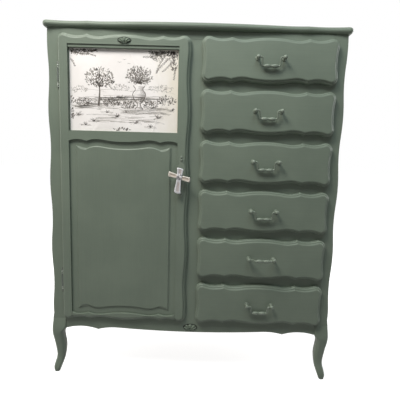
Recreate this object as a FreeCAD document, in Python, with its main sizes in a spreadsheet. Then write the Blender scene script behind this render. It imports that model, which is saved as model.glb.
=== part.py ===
import FreeCAD, Part
import math
import os
from types import SimpleNamespace

import Sketcher
from FreeCAD import Placement, Rotation, Vector

# A chifforobe: a cupboard with a hinged door beside a stack of six drawers, on cabriole legs.
# X runs to the right as seen from the front, Y to the back and Z up from the floor.
# In the sizes, depths are counted from the face of the front frame and heights from the floor.
SIZES = {
    # Case
    "case_depth": 460,
    "post_line": 545,
    "post_width": 48,
    "apron_height": 54.5,
    "bay_height": 142,
    "rail_height": 42,
    "top_rail_height": 30.5,
    "rail_thick": 22,
    "stile_left": 32,
    "stile_right": 30,
    "side_thick": 12,
    "side_recess": 7,
    "skirt_lift": 2,
    "side_skirt_sag": 12,
    "rear_post": 45,
    "rear_foot": 28,
    "rear_sag": 4,
    "back_thick": 6,
    "partition_thick": 16,
    "floor_thick": 16,
    # Top board
    "top_thick": 23,
    "top_over": 14.5,
    "top_corner": 16.5,
    "top_cusp_in": 147,
    "top_cusp": 13.5,
    "top_notch": 78,
    "top_turn": 12,
    "top_cove_sag": 5.5,
    "top_notch_sag": 1.5,
    "top_bow_sag": 11,
    "top_round": 16,
    "top_round_sag": 4.7,
    # Waved edge of the posts and of the door
    "wave_drop": 98,
    "wave_foot": 70,
    "wave_sag": 3,
    "wave_end_sag": 1.5,
    # Cabriole leg: heights, and distances outwards and inwards from the post line
    "leg_joint": 188,
    "hip_z": 250,
    "hip_out": 1,
    "brow_z": 228,
    "brow_out": 4.5,
    "brow_round": 1.5,
    "knee_z": 176,
    "knee_out": 9,
    "knee_round": 10.5,
    "shin_z": 120,
    "shin_out": 2.6,
    "ankle_z": 66,
    "ankle_out": -2.5,
    "toe_z": 16,
    "toe_out": 6.3,
    "sole_out": 4,
    "sole_in": 15,
    "sole_round": 7.5,
    "joint_z": 194,
    "joint_gap": 0.3,
    "hock_z": 164,
    "hock_in": 33.5,
    "calf_z": 104,
    "calf_in": 38.3,
    "calf_round": 13,
    "heel_z": 57,
    "heel_in": 33.3,
    "pad_z": 18,
    "pad_in": 21.5,
    # Apron
    "apron_cusp_in": 128,
    "apron_cusp_drop": 2,
    "apron_notch": 79,
    "apron_turn_lift": 6,
    "apron_cove_sag": 10,
    "apron_notch_sag": 3.3,
    "apron_bow_sag": 9,
    # Scalloped outline shared by the drawer fronts and the door
    "corner_in": 34,
    "corner_down": 30,
    "corner_dip": 1,
    "corner_sag": 12.6,
    "cusp_x": 138,
    "cusp_dip": 1.5,
    "turn_x": 80,
    "turn_dip": 8,
    "cove_sag": 6.4,
    "notch_sag": 4.2,
    "bow_sag": 7,
    "waist_sag": 4.8,
    # Moulded edge
    "mould_step": 1.2,
    "mould_fall": 0.2,
    "mould_edge": 12.5,
    # Drawers
    "lip_over": 9.5,
    "lip_left": 12,
    "lip_right": 15,
    "front_proud": 24,
    "front_inner": 8,
    "seat_gap": 0.3,
    "box_side": 12,
    "box_headroom": 24,
    "box_back_gap": 46,
    "box_gap": 2,
    "ply_thick": 5,
    "ply_lift": 10,
    "ply_groove": 5,
    "groove_gap": 0.2,
    "runner_height": 18,
    "runner_under": 14,
    "guide_lift": 8,
    "guide_gap": 1,
    # Pulls
    "pull_half": 47.35,
    "pull_lift": 5,
    "pull_reach": 19.6,
    "ball_radius": 7.5,
    "neck_radius": 4.4,
    "neck_start": 5,
    "neck_sag": 1.25,
    "flange_radius": 8.5,
    "flange_lip": 7,
    "flange_thick": 2.5,
    "flange_sag": 0.6,
    "stud_radius": 2.4,
    "stud_length": 12,
    "stud_gap": 0.1,
    "wire_radius": 3,
    "pivot_gap": 0.05,
    "pivot_bore": 10,
    "shoulder_in": 9.35,
    "bail_bend": 6,
    "bail_drop": 30,
    "grip_radius": 6.6,
    "grip_end": 3.4,
    "grip_swell": 13,
    "grip_groove": 4,
    "grip_groove_x": 2,
    "grip_bead": 5.4,
    "grip_bead_x": 1.2,
    "bail_raised": 100,
    "bail_hang": 16,
    # Door
    "door_lip_top": 10,
    "door_lip_left": 4,
    "door_thick": 18,
    "door_gap": 0.6,
    "door_stile": 34,
    "lock_stile": 43,
    "head_rail": 39.5,
    "pane_height": 308,
    "mid_rail": 28,
    "foot_rail": 24,
    "field_margin": 24,
    "field_step": 2,
    "field_rise": 5,
    "field_bevel": 5,
    "tongue": 8,
    "tongue_thick": 6,
    "tongue_back": 4,
    "rabbet": 7,
    "print_thick": 4.4,
    "batten_height": 9.5,
    "batten_depth": 8,
    "bead_width": 3,
    "bead_depth": 3,
    # Hinges
    "hinge_face_gap": 0.4,
    "hinge_down": 146.5,
    "hinge_up": 157,
    "hinge_barrel": 50,
    "hinge_radius": 4,
    "hinge_middle": 20,
    "hinge_slack": 0.3,
    "hinge_pin": 2,
    "hinge_bore_gap": 0.05,
    "leaf_thick": 1.5,
    "finial_radius": 3.4,
    "finial_neck": 1.7,
    "finial_sag": 0.57,
    "finial_cup": 4,
    "finial_waist": 8,
    "finial_ball": 12,
    "finial_tip": 18,
    "finial_length": 24,
    # Cross pull and escutcheon
    "cross_in": 33,
    "cross_lift": 34,
    "cross_side": 42,
    "cross_top": 35,
    "cross_bottom": 62,
    "cross_waist": 7.5,
    "cross_flare": 11.5,
    "cross_side_waist": 7,
    "cross_side_flare": 9.3,
    "cross_end_sag": 3,
    "cross_thick": 8,
    "cross_lean": 6.5,
    "cross_dip": 15,
    "cross_reach": 20,
    "cross_stem": 6,
    "plate_in": 27,
    "plate_lift": 37,
    "plate_half": 77,
    "plate_wide": 13,
    "plate_wide_z": 27,
    "plate_neck": 8,
    "plate_neck_z": 54,
    "plate_cove_sag": 2,
    "plate_lobe_sag": 1,
    "plate_thick": 2.5,
    # Inside the cupboard
    "shelf_drop": 245,
    "shelf_thick": 16,
    "shelf_front_gap": 12,
    "shelf_back_gap": 5,
    "cleat": 20,
    "rod_radius": 12.5,
    "rod_gap": 5,
    "socket_radius": 21,
    "socket_depth": 16,
    "socket_floor": 5,
    "socket_gap": 0.3,
    "catch_drop": 213.75,
    "catch_wide": 22,
    "catch_tall": 40,
    "catch_gap": 0.2,
    "strike_thick": 1.2,
    # Carved shells, each in an oval groove
    "door_shell_half": 25.5,
    "door_shell_rise": 11.5,
    "door_shell_lift": 15.5,
    "apron_shell_half": 29,
    "apron_shell_rise": 14,
    "apron_shell_lift": 18,
    "shell_proud": 6,
    "shell_spread": 152,
    "shell_flute": 14,
    "shell_root": 0.8,
    "groove_wide": 2.2,
    "groove_deep": 2.5,
}
DRAWERS = 6
RAISED_DRAWER = 5
WAVES = 7
FLUTES = 7
ROUND_STEPS = 3
NOSE_STEPS = 8
LEG_SECTIONS = 20

doc = FreeCAD.newDocument("chifforobe")
sheet = doc.addObject("Spreadsheet::Sheet", "Sizes")
for row, (alias, number) in enumerate(SIZES.items(), start=1):
    sheet.set(f"A{row}", alias)
    sheet.set(f"B{row}", str(number))
    sheet.setAlias(f"B{row}", alias)
doc.recompute()


class Dim:
    """A size with its number and the expression that gives it from the sheet."""

    def __init__(self, value, text):
        self.value = float(value)
        self.text = text

    def __add__(self, other):
        other = dim(other)
        return Dim(self.value + other.value, f"({self.text} + {other.text})")

    def __sub__(self, other):
        other = dim(other)
        return Dim(self.value - other.value, f"({self.text} - {other.text})")

    def __mul__(self, other):
        other = dim(other)
        return Dim(self.value * other.value, f"({self.text} * {other.text})")

    def __truediv__(self, other):
        other = dim(other)
        return Dim(self.value / other.value, f"({self.text} / {other.text})")

    def __neg__(self):
        return Dim(-self.value, f"(0 - {self.text})")


def dim(size):
    return size if isinstance(size, Dim) else Dim(size, repr(float(size)))


def trig(function, angle):
    """Sine, cosine or tangent of a size in degrees."""
    value = getattr(math, function)(math.radians(angle.value))
    return Dim(value, f"{function}({angle.text} * 1 deg)")


s = SimpleNamespace(**{alias: Dim(sheet.get(alias), f"Sizes.{alias}") for alias in SIZES})
ZERO = dim(0)
# How far a cutting block runs past what it cuts.
SPARE = dim(20)

# The origin is under the middle of the whole depth, from the raised bail's grip to the back.
reach = s.front_proud + s.seat_gap + s.pull_reach + s.grip_radius + s.bail_drop * trig("sin", s.bail_raised)
face = (reach - s.case_depth) / 2

pitch = s.bay_height + s.rail_height
bay_bottom = s.leg_joint + s.apron_height
bay_top = bay_bottom + pitch * DRAWERS - s.rail_height
top_under = bay_top + s.top_rail_height
floor_top = bay_bottom - s.runner_height
post_inner = s.post_line - s.post_width
side_inner = s.post_line - s.side_recess - s.side_thick
top_half = s.post_line + s.top_over
first_level = bay_top - s.bay_height / 2
drawer_left = s.stile_right - s.lip_left
drawer_right = post_inner + s.lip_right
drawer_centre = (drawer_left + drawer_right) / 2
door_left = post_inner + s.door_lip_left
door_right = s.stile_left - s.lip_left
door_centre = -(door_left + door_right) / 2
door_top = bay_top + s.door_lip_top
door_bottom = bay_bottom - s.lip_over
door_middle = (door_top + door_bottom) / 2
pane_top = door_top - s.head_rail
pane_bottom = pane_top - s.pane_height
panel_top = pane_bottom - s.mid_rail
panel_bottom = door_bottom + s.foot_rail
door_front = -s.door_gap - s.door_thick
door_edge = s.door_thick - s.front_proud + s.mould_edge
pull_face = -s.seat_gap - s.front_proud
pivot_y = pull_face - s.pull_reach
door_shell = (door_centre, door_front, pane_top + s.door_shell_lift, s.door_shell_half, s.door_shell_rise)
apron_shell = (ZERO, ZERO, s.leg_joint + s.apron_shell_lift, s.apron_shell_half, s.apron_shell_rise)
parts = []


def keep(label, item):
    """Name a finished piece; its file takes the same name."""
    item.Label = label
    parts.append(item)
    return item


def bind(item, prop, size):
    item.setExpression(prop, dim(size).text)


def put(item, x=0, y=0, z=0, turn=None):
    """Place an item; y is counted back from the face of the front frame."""
    item.Placement = Placement(Vector(dim(x).value, (face + y).value, dim(z).value), turn or UPRIGHT)
    bind(item, "Placement.Base.x", x)
    bind(item, "Placement.Base.y", face + y)
    bind(item, "Placement.Base.z", z)
    return item


def board(name, x, y, z):
    """A straight board between two limits along each axis."""
    box = doc.addObject("Part::Box", name)
    for prop, (low, high) in (("Length", x), ("Width", y), ("Height", z)):
        bind(box, prop, dim(high) - low)
    return put(box, x[0], y[0], z[0])


def rod(name, radius, length, x, y, z, turn):
    cylinder = doc.addObject("Part::Cylinder", name)
    bind(cylinder, "Radius", radius)
    bind(cylinder, "Height", length)
    return put(cylinder, x, y, z, turn)


UPRIGHT = Rotation()
ALONG_X = Rotation(Vector(0, 1, 0), 90)
TO_FRONT = Rotation(Vector(1, 0, 0), 90)


def cut(name, base, tool):
    result = doc.addObject("Part::Cut", name)
    result.Base = base
    result.Tool = tool
    return result


def common(name, base, tool):
    result = doc.addObject("Part::Common", name)
    result.Base = base
    result.Tool = tool
    return result


def fuse(name, items):
    result = doc.addObject("Part::MultiFuse", name)
    result.Shapes = items
    return result


def group(name, items):
    """Several separate solids as one item."""
    result = doc.addObject("Part::Compound", name)
    result.Links = items
    return result


def mirrored(name, item):
    """The same piece on the other side of the middle plane."""
    result = doc.addObject("Part::Mirroring", name)
    result.Source = item
    result.Normal = Vector(1, 0, 0)
    return result


def draw(sketch, outline):
    """Draw a closed outline of (x, y, sagitta) corners; a positive sagitta bulges to the left."""
    corners = [Vector(dim(x).value, dim(y).value, 0) for x, y, sag in outline]
    count = len(corners)
    rules = []
    sizes = []

    def rule(size, kind, *where):
        sizes.append((len(rules), size))
        rules.append(Sketcher.Constraint(kind, *where, size.value))

    first_end = {}
    for i, (x, y, sag) in enumerate(outline):
        start, end = corners[i], corners[(i + 1) % count]
        if dim(sag).value == 0:
            sketch.addGeometry(Part.LineSegment(start, end))
            first_end[i] = 1
            continue
        chord = end - start
        middle = (start + end) / 2 + Vector(-chord.y, chord.x, 0).normalize() * dim(sag).value
        leftward = dim(sag).value > 0
        sketch.addGeometry(Part.Arc(end, middle, start) if leftward else Part.Arc(start, middle, end))
        first_end[i] = 2 if leftward else 1
    for i, (x, y, sag) in enumerate(outline):
        before = (i - 1) % count
        rules.append(Sketcher.Constraint("Coincident", before, 3 - first_end[before], i, first_end[i]))
        rule(dim(x), "DistanceX", -1, 1, i, first_end[i])
        rule(dim(y), "DistanceY", -1, 1, i, first_end[i])
        sag = dim(sag)
        if sag.value:
            rise = sag if sag.value > 0 else -sag
            next_x, next_y, _ = outline[(i + 1) % count]
            across = dim(next_x) - x
            along = dim(next_y) - y
            rule((across * across + along * along) / (rise * 8) + rise / 2, "Radius", i)
    sketch.addConstraint(rules)
    for index, size in sizes:
        sketch.setExpression(f"Constraints[{index}]", size.text)


def sketch_on(body, role, outline):
    sketch = body.newObject("Sketcher::SketchObject", body.Name + "_outline")
    plane = next(item for item in body.Origin.OriginFeatures if item.Role == role)
    sketch.AttachmentSupport = [(plane, "")]
    sketch.MapMode = "FlatFace"
    draw(sketch, outline)
    return sketch


def shaped(name, role, outline, thickness):
    """A board cut to an outline: backwards from XZ_Plane, rightwards from YZ_Plane, upwards from XY_Plane."""
    body = doc.addObject("PartDesign::Body", name)
    pad = body.newObject("PartDesign::Pad", name + "_pad")
    pad.Profile = sketch_on(body, role, outline)
    pad.Reversed = role == "XZ_Plane"
    bind(pad, "Length", thickness)
    return body


def turned(name, outline, angle=360):
    """A turned piece: (radius, height, sagitta) corners, up from the foot, spun about the body's Z axis.

    A positive sagitta bulges outwards. Half a turn leaves the front half of the piece.
    """
    body = doc.addObject("PartDesign::Body", name)
    spin = body.newObject("PartDesign::Revolution", name + "_spin")
    sketch = sketch_on(body, "XZ_Plane", [(radius, height, -dim(sag)) for radius, height, sag in outline])
    spin.Profile = sketch
    spin.ReferenceAxis = (sketch, ["V_Axis"])
    spin.Angle = angle
    spin.Reversed = angle < 360
    return body


def ring(outline, inset, lift, upright):
    """An outline set in from its edge by one distance and lifted by another, as a closed wire."""
    corners = [Vector(dim(x).value, dim(y).value, 0) for x, y, sag in outline]
    sides = []
    for i, (x, y, sag) in enumerate(outline):
        chord = corners[(i + 1) % len(corners)] - corners[i]
        out = Vector(-chord.y, chord.x, 0).normalize()
        bend = math.degrees(2 * math.atan2(2 * dim(sag).value, chord.Length))
        first = Rotation(Vector(0, 0, 1), bend).multVec(out)
        last = Rotation(Vector(0, 0, 1), -bend).multVec(out)
        middle = (corners[i] + corners[(i + 1) % len(corners)]) / 2 + out * (dim(sag).value - inset)
        sides.append((first, middle, last))
    moved = []
    for i, corner in enumerate(corners):
        before, after = sides[i - 1][2], sides[i][0]
        moved.append(corner - (before + after) * (inset / (1 + before.dot(after))))

    def at(point):
        return Vector(point.x, -lift, point.y) if upright else Vector(point.x, point.y, lift)

    edges = []
    for i, (x, y, sag) in enumerate(outline):
        start, end = at(moved[i]), at(moved[(i + 1) % len(moved)])
        if dim(sag).value:
            edges.append(Part.Arc(start, at(sides[i][1]), end).toShape())
        else:
            edges.append(Part.LineSegment(start, end).toShape())
    return Part.Wire(edges)


def moulded(name, outline, profile, upright=True):
    """A slab whose edge follows a profile of (inset, lift) steps all round a shaped outline."""
    slab = doc.addObject("Part::Feature", name)
    slab.Shape = Part.makeLoft([ring(outline, inset, lift, upright) for inset, lift in profile], True, True)
    return slab


def two_rounds(thickness, edge):
    """Edge profile of a square lip with two quarter rounds above it, each on a narrow step."""
    fall = s.mould_fall.value
    radius = (thickness - edge) / 2 - fall
    profile = [(0, 0), (0, edge)]
    inset, lift = 0, edge
    for tier in range(2):
        inset += s.mould_step.value
        lift += fall
        for k in range(ROUND_STEPS + 1):
            angle = math.pi / 2 * k / ROUND_STEPS
            profile.append((inset + radius * (1 - math.cos(angle)), lift + radius * math.sin(angle)))
        inset += radius
        lift += radius
    return profile


def scallop(centre, half, edge, way):
    """One scalloped edge from its first corner to its last: two cusps with a bow between them.

    way is 1 for an upper edge, drawn to the right, and -1 for a lower edge, drawn to the left.
    """
    def corner(x, dip, sag):
        return (centre + x * way, edge - dip * way, sag)

    return [
        corner(s.corner_in - half, s.corner_dip, -s.cove_sag),
        corner(-s.cusp_x, s.cusp_dip, -s.notch_sag),
        corner(-s.turn_x, s.turn_dip, s.bow_sag),
        corner(s.turn_x, s.turn_dip, -s.notch_sag),
        corner(s.cusp_x, s.cusp_dip, -s.cove_sag),
        corner(half - s.corner_in, s.corner_dip, s.corner_sag),
    ]


def wave(x):
    """The waved right-hand edge of a post or of the door, drawn downwards."""
    start = top_under - s.wave_drop
    foot = s.hip_z + s.wave_foot
    bay = (start - foot) / WAVES
    edge = []
    for k in range(WAVES):
        edge.append((x, start - bay * k, -s.wave_sag if k % 2 == 0 else s.wave_sag))
    edge.append((x, foot, s.wave_end_sag))
    return edge


def smooth(points, z):
    """Value at height z on a smooth curve through (height, value) points that doesn't pass beyond them."""
    points = sorted((dim(height).value, dim(value).value) for height, value in points)
    steps = [(b[0] - a[0], (b[1] - a[1]) / (b[0] - a[0])) for a, b in zip(points, points[1:])]
    slopes = [steps[0][1]]
    for (wide, before), (next_wide, after) in zip(steps, steps[1:]):
        turns = before * after <= 0
        slopes.append(0 if turns else (wide + next_wide) / (wide / after + next_wide / before))
    slopes.append(steps[-1][1])
    k = 0
    while k < len(steps) - 1 and z > points[k + 1][0]:
        k += 1
    wide = steps[k][0]
    t = (z - points[k][0]) / wide
    low, high = points[k][1], points[k + 1][1]
    ends = low * (1 + 2 * t) * (1 - t) ** 2 + high * t * t * (3 - 2 * t)
    return ends + wide * (slopes[k] * t * (1 - t) ** 2 - slopes[k + 1] * t * t * (1 - t))


def rounded(x, y, z, radius):
    """A rectangle between two limits along each axis, with rounded corners, as a level wire."""
    centres = [(x[1], y[1], 0), (x[0], y[1], 90), (x[0], y[0], 180), (x[1], y[0], 270)]
    arcs = []
    for cx, cy, turn in centres:
        inwards = Vector(
            math.copysign(radius, x[0] + x[1] - 2 * cx),
            math.copysign(radius, y[0] + y[1] - 2 * cy),
            0,
        )
        circle = Part.Circle(Vector(cx, cy, z) + inwards, Vector(0, 0, 1), radius)
        arcs.append(Part.Arc(circle, math.radians(turn), math.radians(turn + 90)))
    edges = []
    for arc, following in zip(arcs, arcs[1:] + arcs[:1]):
        edges.append(arc.toShape())
        edges.append(Part.LineSegment(arc.EndPoint, following.StartPoint).toShape())
    return Part.Wire(edges)


def cabriole():
    """The right front leg below its brow: one S curve from the front and from the side, rounded in plan."""
    sole = ZERO
    curve = [
        (s.knee_z, s.knee_out),
        (s.shin_z, s.shin_out),
        (s.ankle_z, s.ankle_out),
        (s.toe_z, s.toe_out),
        (sole, s.sole_out),
    ]
    outside = curve + [(s.brow_z, s.brow_out)]
    front = curve + [(s.brow_z, ZERO)]
    inside = [
        (s.brow_z, s.post_width - s.joint_gap),
        (s.joint_z, s.post_width - s.joint_gap),
        (s.hock_z, s.hock_in),
        (s.calf_z, s.calf_in),
        (s.heel_z, s.heel_in),
        (s.pad_z, s.pad_in),
        (sole, s.sole_in),
    ]
    corner = [
        (s.brow_z, s.brow_round),
        (s.knee_z, s.knee_round),
        (s.calf_z, s.calf_round),
        (sole, s.sole_round),
    ]
    line = s.post_line.value
    sections = []
    for k in range(LEG_SECTIONS + 1):
        z = s.brow_z.value * k / LEG_SECTIONS
        depth = smooth(inside, z)
        x = (line - depth, line + smooth(outside, z))
        y = (-smooth(front, z), depth)
        sections.append(rounded(x, y, z, smooth(corner, z)))
    leg = doc.addObject("Part::Feature", "leg_form")
    leg.Shape = Part.makeLoft(sections, True)
    return put(leg)


def front_posts():
    """Each front post is one piece with its leg; the left one is returned without its hinge mortises."""
    front_view = [(post_inner, top_under, ZERO), (s.post_line, top_under, s.wave_end_sag)] + wave(s.post_line)
    front_view += [
        (s.post_line + s.hip_out, s.hip_z, ZERO),
        (s.post_line + s.brow_out, s.brow_z, ZERO),
        (post_inner, s.brow_z, ZERO),
    ]
    sawn = put(shaped("post_front_view", "XZ_Plane", front_view, s.post_width))
    right = keep("right_front_post", fuse("post_right", [sawn, cabriole()]))
    return mirrored("post_left", right)


def rear_posts():
    """Plain square posts with legs that taper to the floor."""
    inner = s.post_line - s.rear_post
    outline = [
        (inner, top_under, ZERO),
        (s.post_line, top_under, ZERO),
        (s.post_line, ZERO, ZERO),
        (s.post_line - s.rear_foot, ZERO, -s.rear_sag),
        (inner, s.leg_joint, ZERO),
    ]
    right = shaped("rear_post_right", "XZ_Plane", outline, s.rear_post)
    put(right, 0, s.case_depth - s.rear_post, 0)
    keep("rear_posts", group("rear_post_pair", [right, mirrored("rear_post_left", right)]))


def top_board():
    """The top, with cusps and a bow along its front and a full bullnose all round."""
    cusp = s.post_line - s.top_cusp_in
    turn = cusp - s.top_notch
    front = [
        (top_half, s.top_round - s.top_corner, s.top_round_sag),
        (top_half - s.top_round, -s.top_corner, -s.top_cove_sag),
        (cusp, -s.top_cusp, -s.top_notch_sag),
        (turn, -s.top_turn, s.top_bow_sag),
        (-turn, -s.top_turn, -s.top_notch_sag),
        (-cusp, -s.top_cusp, -s.top_cove_sag),
        (s.top_round - top_half, -s.top_corner, s.top_round_sag),
        (-top_half, s.top_round - s.top_corner, ZERO),
    ]
    outline = [(-top_half, s.case_depth, ZERO), (top_half, s.case_depth, ZERO)] + front
    radius = s.top_thick.value / 2
    nose = []
    for k in range(NOSE_STEPS + 1):
        angle = math.pi * (k / NOSE_STEPS - 0.5)
        nose.append((radius * (1 - math.cos(angle)), radius * (1 + math.sin(angle))))
    top = keep("top_board", moulded("top", outline, nose, upright=False))
    put(top, 0, 0, top_under)


def front_frame():
    back = s.rail_thick
    keep("top_rail", board("rail_top", (-post_inner, post_inner), (0, back), (bay_top, top_under)))
    keep("centre_stile", board("stile", (-s.stile_left, s.stile_right), (0, back), (bay_bottom, bay_top)))
    cusp = post_inner - s.apron_cusp_in
    turn = cusp - s.apron_notch
    dip, rise = s.leg_joint - s.apron_cusp_drop, s.leg_joint + s.apron_turn_lift
    edge = [
        (-post_inner, bay_bottom, ZERO),
        (post_inner, bay_bottom, ZERO),
        (post_inner, s.leg_joint, -s.apron_cove_sag),
        (cusp, dip, -s.apron_notch_sag),
        (turn, rise, s.apron_bow_sag),
        (-turn, rise, -s.apron_notch_sag),
        (-cusp, dip, -s.apron_cove_sag),
        (-post_inner, s.leg_joint, ZERO),
    ]
    plain = put(shaped("apron_board", "XZ_Plane", edge, back))
    keep("apron", cut("apron_carved", plain, oval_groove("apron", *apron_shell)))
    rails = []
    for k in range(1, DRAWERS):
        top = bay_top - pitch * k + s.rail_height
        span = (s.stile_right, post_inner)
        rails.append(board(f"rail_{k}", span, (0, back), (top - s.rail_height, top)))
    keep("drawer_rails", group("rails", rails))


def case_panels():
    front = s.post_width
    back = s.case_depth - s.rear_post
    skirt = s.leg_joint + s.skirt_lift
    outline = [
        (front, top_under, ZERO),
        (back, top_under, ZERO),
        (back, skirt, -s.side_skirt_sag),
        (front, skirt, ZERO),
    ]
    right = shaped("side_right", "YZ_Plane", outline, s.side_thick)
    keep("right_side_panel", put(right, side_inner, 0, 0))
    keep("left_side_panel", mirrored("side_left", right))
    inner = s.post_line - s.rear_post
    behind = (s.case_depth - s.back_thick, s.case_depth)
    keep("back_panel", board("back", (-inner, inner), behind, (floor_top - s.floor_thick, top_under)))
    half = s.partition_thick / 2
    between = (s.rail_thick, s.case_depth - s.back_thick)
    keep("partition", board("divider", (-half, half), between, (floor_top, top_under)))
    under = (floor_top - s.floor_thick, floor_top)
    slab = board("floor_slab", (-side_inner, side_inner), between, under)
    notches = []
    for name, x, y in (
        ("front_right", (post_inner, s.post_line), (0, front)),
        ("front_left", (-s.post_line, -post_inner), (0, front)),
        ("rear_right", (inner, s.post_line), (back, s.case_depth)),
        ("rear_left", (-s.post_line, -inner), (back, s.case_depth)),
    ):
        notches.append(board("notch_" + name, x, y, under))
    keep("bottom_board", cut("floor_notched", slab, group("notches", notches)))


def runners():
    """A pair of rebated runners under each drawer, each with a fence that guides the drawer's side."""
    half = s.partition_thick / 2
    near = s.stile_right + s.box_gap
    far = post_inner - s.box_gap
    pieces = []
    for name, wall, side, way, start, end in (
        ("left", half, near, 1, s.rail_thick, s.case_depth - s.back_thick),
        ("right", side_inner, far, -1, s.post_width, s.case_depth - s.rear_post),
    ):
        fence = side - s.guide_gap * way
        tip = side + (s.box_side + s.runner_under) * way
        for k in range(DRAWERS):
            top = bay_top - pitch * k - s.bay_height
            outline = [
                (wall, top - s.runner_height, ZERO),
                (wall, top + s.guide_lift, ZERO),
                (fence, top + s.guide_lift, ZERO),
                (fence, top, ZERO),
                (tip, top, ZERO),
                (tip, top - s.runner_height, ZERO),
            ]
            runner = shaped(f"runner_{name}_{k + 1}", "XZ_Plane", outline, end - start)
            pieces.append(put(runner, 0, start, 0))
    keep("drawer_runners", group("runners", pieces))


def cupboard():
    """Hat shelf on two cleats, and a clothes rod in two sockets under it."""
    half = s.partition_thick / 2
    depth = (s.post_width + s.shelf_front_gap, s.case_depth - s.rear_post - s.shelf_back_gap)
    top = top_under - s.shelf_drop
    keep("hat_shelf", board("shelf", (-side_inner, -half), depth, (top - s.shelf_thick, top)))
    under = (top - s.shelf_thick - s.cleat, top - s.shelf_thick)
    cleats = [
        board("cleat_left", (-side_inner, s.cleat - side_inner), depth, under),
        board("cleat_right", (-half - s.cleat, -half), depth, under),
    ]
    keep("shelf_cleats", group("cleats", cleats))
    level = under[0] - s.socket_radius - s.rod_gap
    middle = (depth[0] + depth[1]) / 2
    bore = s.rod_radius + s.socket_gap
    cup = [
        (ZERO, ZERO, ZERO),
        (s.socket_radius, ZERO, ZERO),
        (s.socket_radius, s.socket_depth, ZERO),
        (bore, s.socket_depth, ZERO),
        (bore, s.socket_floor, ZERO),
        (ZERO, s.socket_floor, ZERO),
    ]
    sockets = []
    for name, x, turn in (("left", -side_inner, ALONG_X), ("right", -half, ALONG_X.inverted())):
        sockets.append(put(turned("socket_" + name, cup), x, middle, level, turn))
    keep("rod_sockets", group("sockets", sockets))
    start = s.socket_floor + s.socket_gap
    length = side_inner - half - start * 2
    keep("clothes_rod", rod("rail_rod", s.rod_radius, length, start - side_inner, middle, level, ALONG_X))


def drawer_forms():
    """Front, box and pull posts of one drawer about the level of its middle; each drawer repeats them."""
    half, rise = (drawer_right - drawer_left) / 2, s.bay_height / 2 + s.lip_over
    upper = scallop(ZERO, half, rise, 1)
    right = [(half, rise - s.corner_down, -s.waist_sag), (half, s.corner_down - rise, s.corner_sag)]
    lower = scallop(ZERO, half, -rise, -1)
    left = [(-half, s.corner_down - rise, -s.waist_sag), (-half, rise - s.corner_down, s.corner_sag)]
    outline = upper + right + lower + left
    slab = moulded("front_slab", outline, two_rounds(s.front_proud.value, s.mould_edge.value))
    slab.Placement.Base = Vector(drawer_centre.value, (face - s.seat_gap).value, 0)
    bay = (s.stile_right + s.box_gap, post_inner - s.box_gap)
    bottom = s.seat_gap - s.bay_height / 2
    upright = (bottom, bottom + s.bay_height - s.box_headroom)
    inside = (-s.seat_gap, s.front_inner)
    block = board("front_block", bay, inside, upright)
    stud_holes = []
    for name, way in (("left", -1), ("right", 1)):
        x = drawer_centre + s.pull_half * way
        wide, deep = s.stud_radius + s.stud_gap, s.stud_length + s.stud_gap
        stud_holes.append(rod("stud_hole_" + name, wide, deep, x, pull_face + deep, s.pull_lift, TO_FRONT))
    front = cut("front_form", fuse("front_joined", [slab, block]), group("stud_holes", stud_holes))

    back = s.case_depth - s.back_thick - s.box_back_gap
    ply = (bottom + s.ply_lift, bottom + s.ply_lift + s.ply_thick)
    slot = (ply[0] - s.groove_gap, ply[1] + s.groove_gap)
    inner = (bay[0] + s.box_side, bay[1] - s.box_side)
    sides = []
    for name, x, groove in (
        ("left", (bay[0], inner[0]), (inner[0] - s.ply_groove - s.groove_gap, inner[0])),
        ("right", (inner[1], bay[1]), (inner[1], inner[1] + s.ply_groove + s.groove_gap)),
    ):
        plank = board("side_plank_" + name, x, (s.front_inner, back), upright)
        channel = board("side_groove_" + name, groove, (s.front_inner, back), slot)
        sides.append(cut("box_side_" + name, plank, channel))
    tail = board("box_tail", inner, (back - s.box_side, back), (ply[1], upright[1]))
    tray = (inner[0] - s.ply_groove, inner[1] + s.ply_groove)
    sheet_board = board("box_ply", tray, (s.front_inner, back), ply)
    box = group("box_form", sides + [tail, sheet_board])

    posts = []
    wide, deep = s.wire_radius + s.pivot_gap, s.pivot_bore + s.pivot_gap
    for name, way in (("left", -1), ("right", 1)):
        x = drawer_centre + s.pull_half * way
        stem = put(turned("post_form_" + name, ball_post()), x, pull_face, s.pull_lift, TO_FRONT)
        start = x - s.pivot_gap if way < 0 else x - s.pivot_bore
        bore = rod("pivot_hole_" + name, wide, deep, start, pivot_y, s.pull_lift, ALONG_X)
        posts.append(cut("pull_post_" + name, stem, bore))
    return front, box, group("posts_form", posts)


def ball_post():
    """Outline of a pull's post: a stud in the wood, a flange, a neck and a ball that the bail hangs in."""
    ball = s.ball_radius
    across = math.sqrt(ball.value ** 2 - s.neck_radius.value ** 2)
    lower = ball * (1 - math.sqrt((1 + s.neck_radius.value / ball.value) / 2))
    upper = ball * (1 - math.sqrt(0.5))
    return [
        (ZERO, -s.stud_length, ZERO),
        (s.stud_radius, -s.stud_length, ZERO),
        (s.stud_radius, ZERO, ZERO),
        (s.flange_radius, ZERO, s.flange_sag),
        (s.flange_lip, s.flange_thick, -s.neck_sag),
        (s.neck_radius, s.neck_start, ZERO),
        (s.neck_radius, s.pull_reach - across, lower),
        (ball, s.pull_reach, upper),
        (ZERO, s.pull_reach + ball, ZERO),
    ]


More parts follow.
